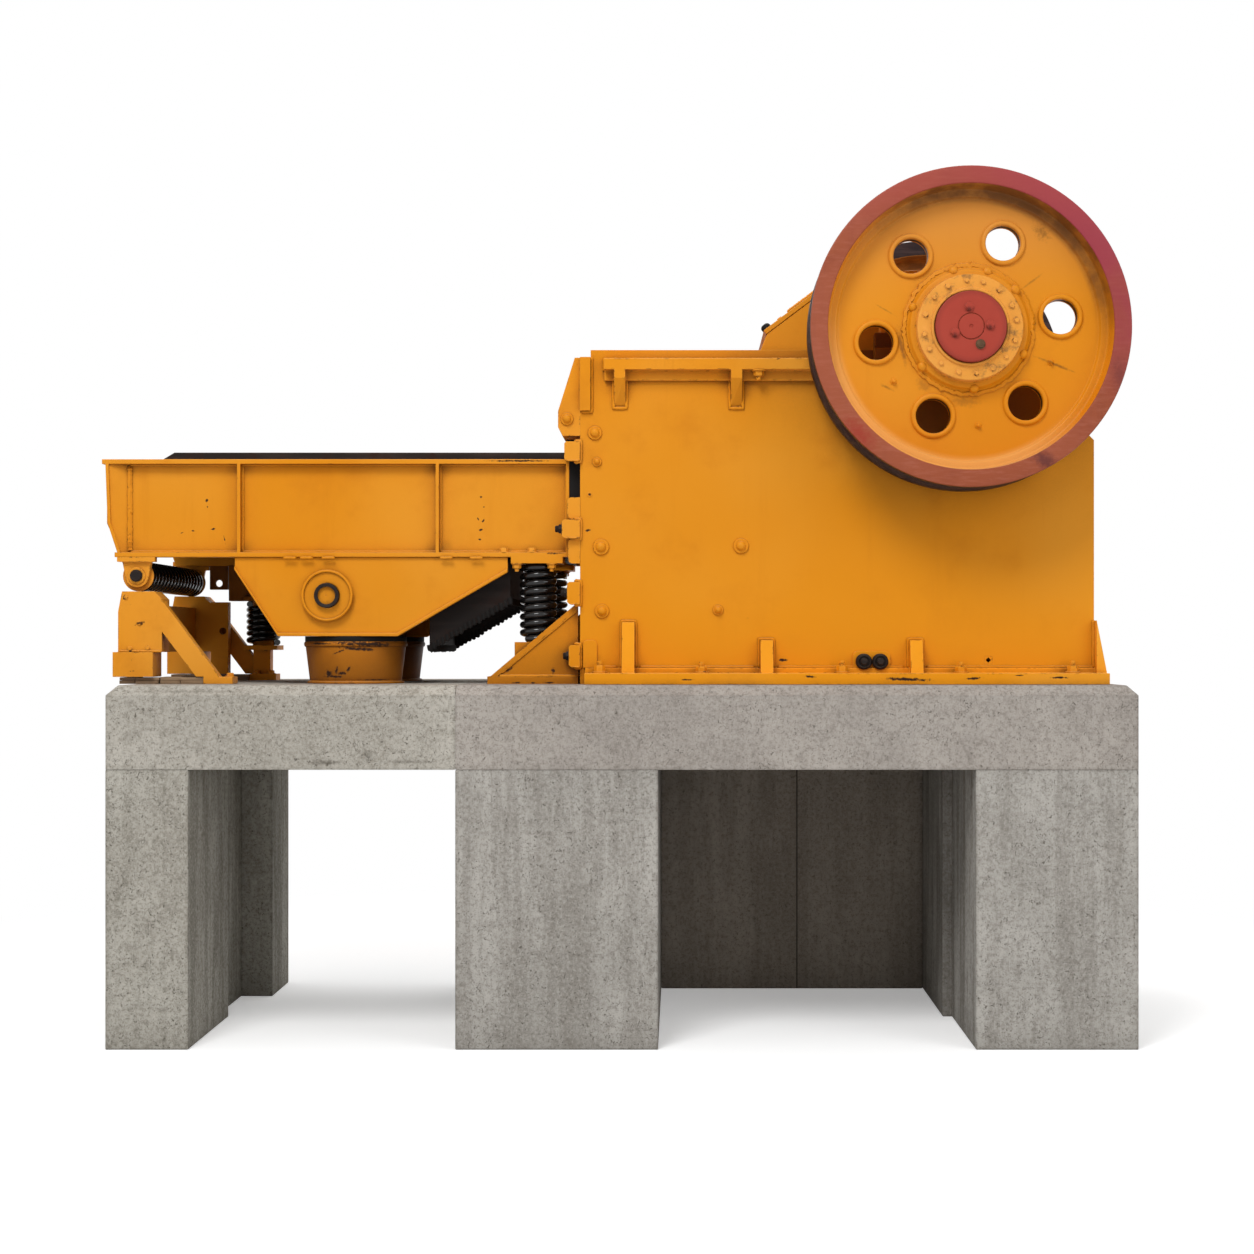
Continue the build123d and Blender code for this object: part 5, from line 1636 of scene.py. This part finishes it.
@piece(packing_timber, rounding=0.002, replaces="wood_packing")
def packing_planks(bm):
    draw = random.Random(5)
    for side, name in both_sides:
        left = packing_low.x
        for width, share in plank_sizes:
            right = min(left + width, packing_high.x)
            if side < 0:
                near = packing_low.y + packing_depth * (1 - share)
            else:
                near = packing_high.y - packing_depth
            far = near + packing_depth * share
            top = packing_top - draw.uniform(0.0005, 0.004)
            middle = (slab_top + top) / 2 + draw.uniform(-0.002, 0.002)
            start = left + draw.uniform(0.001, 0.004)
            end = right - (start - left)
            lower = [(start, slab_top), (end, slab_top), (end, middle), (start, middle)]
            upper = [(start, middle + 0.001), (right, middle + 0.001), (right, top), (start, top)]
            prism(bm, lower, near, far)
            prism(bm, upper, near + 0.004, far - 0.003)
            left = right


# %% [markdown]
# Between the feeder and the crusher a rubber skirt on each side keeps dust and stones in, and it has to bend,
# because the feeder shakes and the crusher stands still. Each skirt is a strip bolted to the crusher's edge.
# A flat plane would do from the front, but it would be paper from above, so a thick section with a soft
# wave is pushed down through its height.

# %% Feed skirts
skirt_bottom = feeder_bottom + 0.080
skirt_top = feeder_top + 0.092
skirt_start = feeder_end - 0.012
skirt_end = crusher_front + 0.004
skirt_line = 0.580
skirt_thickness = 0.012
skirt_levels = 8
skirt_stations = 7


@piece(black_rubber, sharp=50)
def feed_skirts(bm):
    for side, name in both_sides:
        rings = []
        for level in range(skirt_levels + 1):
            z = skirt_bottom + (skirt_top - skirt_bottom) * level / skirt_levels
            outer = []
            for index in range(skirt_stations + 1):
                share = index / skirt_stations
                wave = 0.004 * math.sin(math.pi * share + z * 9)
                outer.append((skirt_start + (skirt_end - skirt_start) * share, skirt_line - wave))
            inner = [(x, y - skirt_thickness) for x, y in outer[::-1]]
            rings.append([bm.verts.new((x, side * y, z)) for x, y in outer + inner])
        for below, above in zip(rings, rings[1:]):
            bridge(bm, below, above)
        bm.faces.new(rings[0])
        bm.faces.new(rings[-1])


# %% [markdown]
# The feeder's middle rests on two pot-shaped buffers with rubber discs on top. The pot's wall is already in
# the frame's solids. What makes it a pressing and not a bucket is its rolled lip under the disc and its thin
# foot flange. They could be cut into the wall's mesh, but two rings turned on the lathe and set over it give
# the same silhouette and leave the solid whole. The torn paint at the lip and foot is a set of scars in the
# darker orange with painted shade.

# %% Rings of the buffer pots
pot_low, pot_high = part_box("buffer_stands")
pot_radius = (pot_high.x - pot_low.x) / 2
pot_x = (pot_low.x + pot_high.x) / 2
pot_y = pot_high.y - pot_radius
foot_radius = 0.216
pot_lip = [(pot_radius - 0.012, -0.030, 0), (pot_radius + 0.002, -0.024, 0.004),
           (pot_radius + 0.006, -0.012, 0.005), (pot_radius + 0.002, -0.002, 0.003),
           (pot_radius - 0.012, -0.001, 0)]
pot_foot = [(foot_radius - 0.012, 0.0, 0), (foot_radius + 0.014, 0.0, 0.002),
            (foot_radius + 0.014, 0.009, 0.003), (foot_radius + 0.003, 0.012, 0.002),
            (foot_radius - 0.004, 0.026, 0)]


@piece(painted_shade_orange, sharp=45)
def buffer_pot_rings(bm):
    for side, name in both_sides:
        for corners, z in ((pot_lip, pot_high.z), (pot_foot, slab_top)):
            profile = rounded_profile(corners)
            lathe(bm, profile + profile[:1], 96, upright(pot_x, side * pot_y, z))
    bmesh.ops.remove_doubles(bm, verts=bm.verts, dist=0.00002)


# %% [markdown]
# Below the grizzly bars hangs a dark chute for the fines. Its lower edge carries a worn strip that ends in
# a row of rounded lumps, like a heavy fringe. A displaced edge could give the lumps, but it would need a
# very fine mesh along the whole chute. So each lump is a short drop turned on the lathe, with its own length,
# and the loop sets them shoulder to shoulder along the sloping edge.

# %% Chute fringe
chute_low, chute_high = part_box("grizzly_chute")
chute_slope = math.radians(30.3)
lump_pitch = 0.020
end_lump_pitch = 0.026


@piece(black_rubber)
def chute_fringe(bm):
    draw = random.Random(31)
    run = chute_high.x - chute_low.x
    rise = run * math.tan(chute_slope)
    count = int(run / lump_pitch)
    for y in (chute_low.y + 0.006, chute_high.y - 0.006):
        for index in range(count + 1):
            share = index / count
            root = (chute_low.x + run * share, y, chute_low.z + rise * share + 0.008)
            size = draw.uniform(0.010, 0.0135)
            reach = draw.uniform(0.010, 0.019)
            lathe(bm, [(0, -0.02), (size, -0.02), (size, 0), (size * 0.8, reach * 0.7), (0, reach)], 10,
                  turned(root, (0.2, 0, -1)))
    for x, z in ((chute_low.x + 0.006, chute_low.z), (chute_high.x - 0.006, chute_low.z + rise)):
        for index in range(int((chute_high.y - chute_low.y) / end_lump_pitch)):
            y = chute_low.y + (index + 0.5) * end_lump_pitch
            reach = draw.uniform(0.010, 0.016)
            lathe(bm, [(0, -0.02), (0.013, -0.02), (0.013, 0), (0.010, 0.008), (0, reach)], 10,
                  hanging(x, y, z + 0.006))


# %% [markdown]
# Inside the trough, flush bolt heads hold the wear liners and the deck, because anything proud would be
# knocked off by rock. They could be circles in a bump map, but from above the trough is the part that one
# looks into, so each head is a shallow turned disc with the dimple for its key.

# %% Liner bolts in the trough
liner_face = web_back - 0.035
liner_start = feeder_rear + 0.36
liner_pitch = 0.215
liner_rows = (feeder_bottom + 0.14, feeder_bottom + 0.38)
pan_low, pan_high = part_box("feeder_pan")
pan_start = pan_low.x + 0.12
pan_pitch = (pan_high.x - pan_low.x - 0.24) / 5
pan_rows = (-0.42, -0.21, 0.0, 0.21, 0.42)


def flush_bolt(bm, placed, radius):
    lathe(bm, [(radius, -0.004), (radius, 0.001), (radius * 0.86, 0.0025), (radius * 0.5, 0.0025),
               (radius * 0.45, -0.001), (0, -0.001)], 20, placed)


@piece(bolt_steel)
def trough_bolts(bm):
    for side, name in both_sides:
        for index in range(9):
            for z in liner_rows:
                origin = (liner_start + index * liner_pitch, side * liner_face, z)
                flush_bolt(bm, turned(origin, (0, -side, 0)), 0.014)
    for y in pan_rows:
        for column in range(6):
            flush_bolt(bm, upright(pan_start + column * pan_pitch, y, pan_high.z), 0.016)


# %% [markdown]
# The bearing housings sit in the saddles of the side plates. Behind the flywheels they have a cover with a
# ring of bolts, two hold-down bolts on each lug and a grease nipple on top. The photograph shows none of it.
# An Array modifier on an empty could space the ring of bolts. A loop over angles says the same in one line
# and leaves no helper object in the file.

# %% Bearing bolts
housing_face = 0.700
cover_face = housing_face + 0.018
cover_weld_radius = 0.202
bolt_rings = ((12, 0.178, cover_face, 0.024, 0.014), (8, 0.245, housing_face, 0.030, 0.018))
lug_top = plate_top + 0.070
lug_line = 0.662
lug_bolts = (-0.360, -0.325, 0.325, 0.360)
nipple_line = 0.630
nipple_height = 0.288


@pair(worn_orange)
def bearing_bolts(bm, side):
    for count, radius, face, across_flats, height in bolt_rings:
        for index in range(count):
            x, z = polar(radius, 2 * math.pi * (index + 0.5) / count)
            hex_bolt(bm, outward(side, shaft_x + x, face, shaft_z + z), across_flats, height, 1.2)
    for x in lug_bolts:
        hex_bolt(bm, upright(shaft_x + x, side * lug_line, lug_top), 0.034, 0.026, 1.0)
    nipple = [(0.014, -0.004), (0.014, 0.010), (0.008, 0.014), (0.008, 0.024), (0.010, 0.028),
              (0.006, 0.034), (0, 0.035)]
    lathe(bm, nipple, 12, upright(shaft_x, side * nipple_line, shaft_z + nipple_height))
    ring_weld(bm, outward(side, shaft_x, cover_face - 0.016, shaft_z), cover_weld_radius, 0.004)


# %% [markdown]
# Above the chamber a sloping guard plate covers the pitman, with a cheek plate down each side and an apron
# across its lower edge. A black stop sits on that edge and a thin strap runs beside it. The cheeks could be
# one folded sheet with a Solidify modifier, but folded sheet has round corners and these are cut plates, so
# each is a prism. They all ride on the jaw, like the guard, and stay clear of the side plates.

# %% Pitman guard details
guard_low, guard_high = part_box("pitman_guard")
guard_slope = math.radians(37)
guard_run = 0.430
guard_thickness = 0.022
guard_rise = math.sin(guard_slope)
guard_level = math.cos(guard_slope)
strap_line = guard_high.y - 0.045
strap_bolts = (0.25, 0.55, 0.85)
cheek_thickness = 0.012


def on_guard(share, y, lift):
    """Point on the guard's upper face: share along the slope, lifted off it."""
    along = guard_run * share
    off = guard_thickness + lift
    return (guard_low.x + 0.013 + along * guard_level - off * guard_rise, y,
            guard_low.z + along * guard_rise + off * guard_level)


@piece(black_rubber, body="jaw")
def guard_stops(bm):
    stop = [(0.024, 0), (0.024, 0.014), (0.019, 0.022), (0.012, 0.026), (0, 0.027)]
    for side, name in both_sides:
        foot = on_guard(0.05, side * strap_line, -0.002)
        lathe(bm, stop, 24, turned(foot, (-guard_rise, 0, guard_level)))


@piece(orange_paint, body="jaw", sharp=60)
def guard_strap(bm):
    for side, name in both_sides:
        y = side * strap_line
        weld(bm, [on_guard(0.34, y, 0.006), on_guard(0.98, y, 0.006)], 0.007)
        for share in strap_bolts:
            foot = on_guard(share, y - side * 0.07, 0)
            hex_bolt(bm, turned(foot, (-guard_rise, 0, guard_level)), 0.024, 0.014, 1.3)


@piece(orange_paint, body="jaw", rounding=0.002)
def guard_cheeks(bm):
    """Side plates and apron below the guard, a little inside its edges."""
    edge = guard_low.x + guard_thickness * guard_rise
    bottom = guard_low.z
    bend = edge + guard_run * guard_level
    top = bottom + guard_run * guard_rise
    foot = plate_top + 0.004
    cheek = [(edge + 0.004, bottom + 0.001), (bend, top - 0.002), (bend + 0.030, top - 0.060),
             (bend - 0.140, foot), (edge - 0.030, foot)]
    apron = [(edge + 0.002, bottom), (edge + 0.014, bottom), (edge - 0.020, foot), (edge - 0.032, foot)]
    outer = guard_high.y - 0.004
    inner = outer - cheek_thickness
    prism(bm, cheek, -outer, -inner)
    prism(bm, cheek, inner, outer)
    prism(bm, apron, -inner, inner)


# %% [markdown]
# The rear wall is welded between the side plates, inside and outside. A corner could be left plain where the
# photograph doesn't show it, but the machine is looked at from behind too. The same tool draws these beads,
# because a frame that is welded by one hand has the same bead everywhere.

# %% Rear wall welds
rear_wall_low, rear_wall_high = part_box("rear_wall")
inside_start = slab_top + 0.70


@piece(orange_paint, sharp=80)
def rear_wall_welds(bm):
    top = rear_wall_high.z - 0.005
    outside = rear_wall_high.x + 0.003
    inside = rear_wall_low.x - 0.003
    for side, name in both_sides:
        y = side * (rear_wall_high.y - 0.003)
        for x, bottom in ((outside, slab_top + 0.01), (inside, inside_start)):
            weld(bm, [(x, y, bottom), (x, y, top)], 0.008)


# %% [markdown]
# Eight bolts come through the rear wall and hold the block that the toggle plate pushes against. Above the
# wall the pitman's barrel shows, with a bead round each end and two oil plugs on flat bosses. The photograph
# shows neither, and both are what such a crusher has there. A long shaft of plain paint between the wheels
# would look unfinished, and a displaced surface couldn't give a clean hexagon, so the bolt tool is used
# again.

# %% Block bolts and oil plugs
block_low, block_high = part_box("toggle_block")
block_bolt_inset = 0.070
block_bolt_places = (-0.42, -0.14, 0.14, 0.42)
pitman_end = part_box("pitman")[1]
barrel_radius = 0.330
barrel_z = pitman_end.z - barrel_radius
plug_turn = math.radians(52)
plug_places = (-0.24, 0.24)


@piece(worn_orange)
def toggle_block_bolts(bm):
    for y in block_bolt_places:
        for z in (block_low.z + block_bolt_inset, block_high.z - block_bolt_inset):
            placed = turned((rear_wall_high.x, y, z), (1, 0, 0))
            hex_bolt(bm, placed, 0.046, 0.032, 1.5, (0.014, 0.020, 0.006))


@piece(orange_paint, body="jaw", sharp=45)
def pitman_plugs(bm):
    for side, name in both_sides:
        end = (shaft_x, side * (pitman_end.y - 0.022), barrel_z)
        ring_weld(bm, turned(end, (0, 1, 0)), barrel_radius + 0.001, 0.006)
    away = Vector((math.cos(plug_turn), 0, math.sin(plug_turn)))
    boss = [(0, -0.010), (0.036, -0.010), (0.036, 0.008), (0.031, 0.012), (0, 0.012)]
    for y in plug_places:
        foot = Vector((shaft_x, y, barrel_z)) + away * barrel_radius
        lathe(bm, boss, 28, turned(foot, away))
        hex_bolt(bm, turned(foot + away * 0.012, away), 0.032, 0.018, 1.15)


# %% [markdown]
# The studio: a large soft lamp above and in front, a weaker one from the right, one from above and behind,
# and a surround that is brighter above than below, like an overcast sky. An even surround is simpler, but it
# lights undersides as much as tops, and then a heavy machine looks weightless. The floor is pale. Far from
# the machine it turns to the same white as the surround, so no horizon shows, and close to the machine it
# keeps the shadow. A curved backdrop would do that too, but only from one side.

# %% Floor
floor_radius = 30
white_start = 2.8
white_end = 5.5
floor_lift = 0.30
floor_bounce = (0.72, 0.72, 0.72, 1)
floor_seen = (0.93, 0.93, 0.93, 1)


def seen_share(path):
    """1 for what the camera or a reflection looks at, 0 for light that only falls on the machine."""
    return larger(path["Is Camera Ray"], path["Is Glossy Ray"])


def floor_material():
    material, tree = new_material("studio_floor")
    seen = seen_share(add(tree, "LightPath").outputs)
    matt = add(tree, "BsdfDiffuse", {"Color": blend(seen, floor_bounce, floor_seen)})
    lift = add(tree, "Emission", {"Strength": times(seen, floor_lift)})
    pale = add(tree, "AddShader", {0: matt.outputs[0], 1: lift.outputs[0]})
    white = add(tree, "Emission", {"Strength": 1.0})
    far_off = times(spread(length(place(tree)), white_start, white_end), seen)
    mixed = add(tree, "MixShader", {"Fac": far_off, 1: pale.outputs[0], 2: white.outputs[0]})
    add(tree, "OutputMaterial", {"Surface": mixed.outputs[0]})
    return material


floor_mesh = bpy.data.meshes.new("studio_floor")
floor_corners = [(x * floor_radius, y * floor_radius, 0) for x, y in ((-1, -1), (1, -1), (1, 1), (-1, 1))]
floor_mesh.from_pydata(floor_corners, [], [(0, 1, 2, 3)])
floor_mesh.materials.append(floor_material())
floor = bpy.data.objects.new("studio_floor", floor_mesh)
bpy.context.collection.objects.link(floor)
print("floor:", 2 * floor_radius, "m across")

# %% Lamps
machine_middle = Vector((0.2, 0, 1.9))
lamps = (("key_lamp", (-2.6, -8.0, 10.5), 4.5, 700), ("fill_lamp", (7.5, -7.0, 5.0), 6.0, 170),
         ("top_lamp", (0.5, 3.0, 9.5), 6.0, 240))

for name, lamp_place, size, power in lamps:
    light = bpy.data.lights.new(name, "AREA")
    light.shape = "DISK"
    light.size = size
    light.energy = power
    lamp = bpy.data.objects.new(name, light)
    lamp.location = lamp_place
    lamp.rotation_euler = (machine_middle - Vector(lamp_place)).to_track_quat("-Z", "Y").to_euler()
    bpy.context.collection.objects.link(lamp)
print("lamps:", len(lamps))

# %% Surround
light_below = 0.38
light_above = 0.66

world = bpy.data.worlds.new("studio")
bpy.context.scene.world = world
world.use_nodes = True
sky = world.node_tree
sky.nodes.clear()
path = add(sky, "LightPath").outputs
seen = larger(seen_share(path), path["Is Transmission Ray"])
height = axes_of(sky, add(sky, "TexCoord").outputs["Generated"])["Z"]
strength = larger(spread(height, -0.3, 1.0, light_below, light_above), seen)
surround = add(sky, "Background", {"Color": (1, 1, 1, 1), "Strength": strength})
add(sky, "OutputWorld", {"Surface": surround.outputs[0]})
print("surround from", light_below, "below to", light_above, "above")
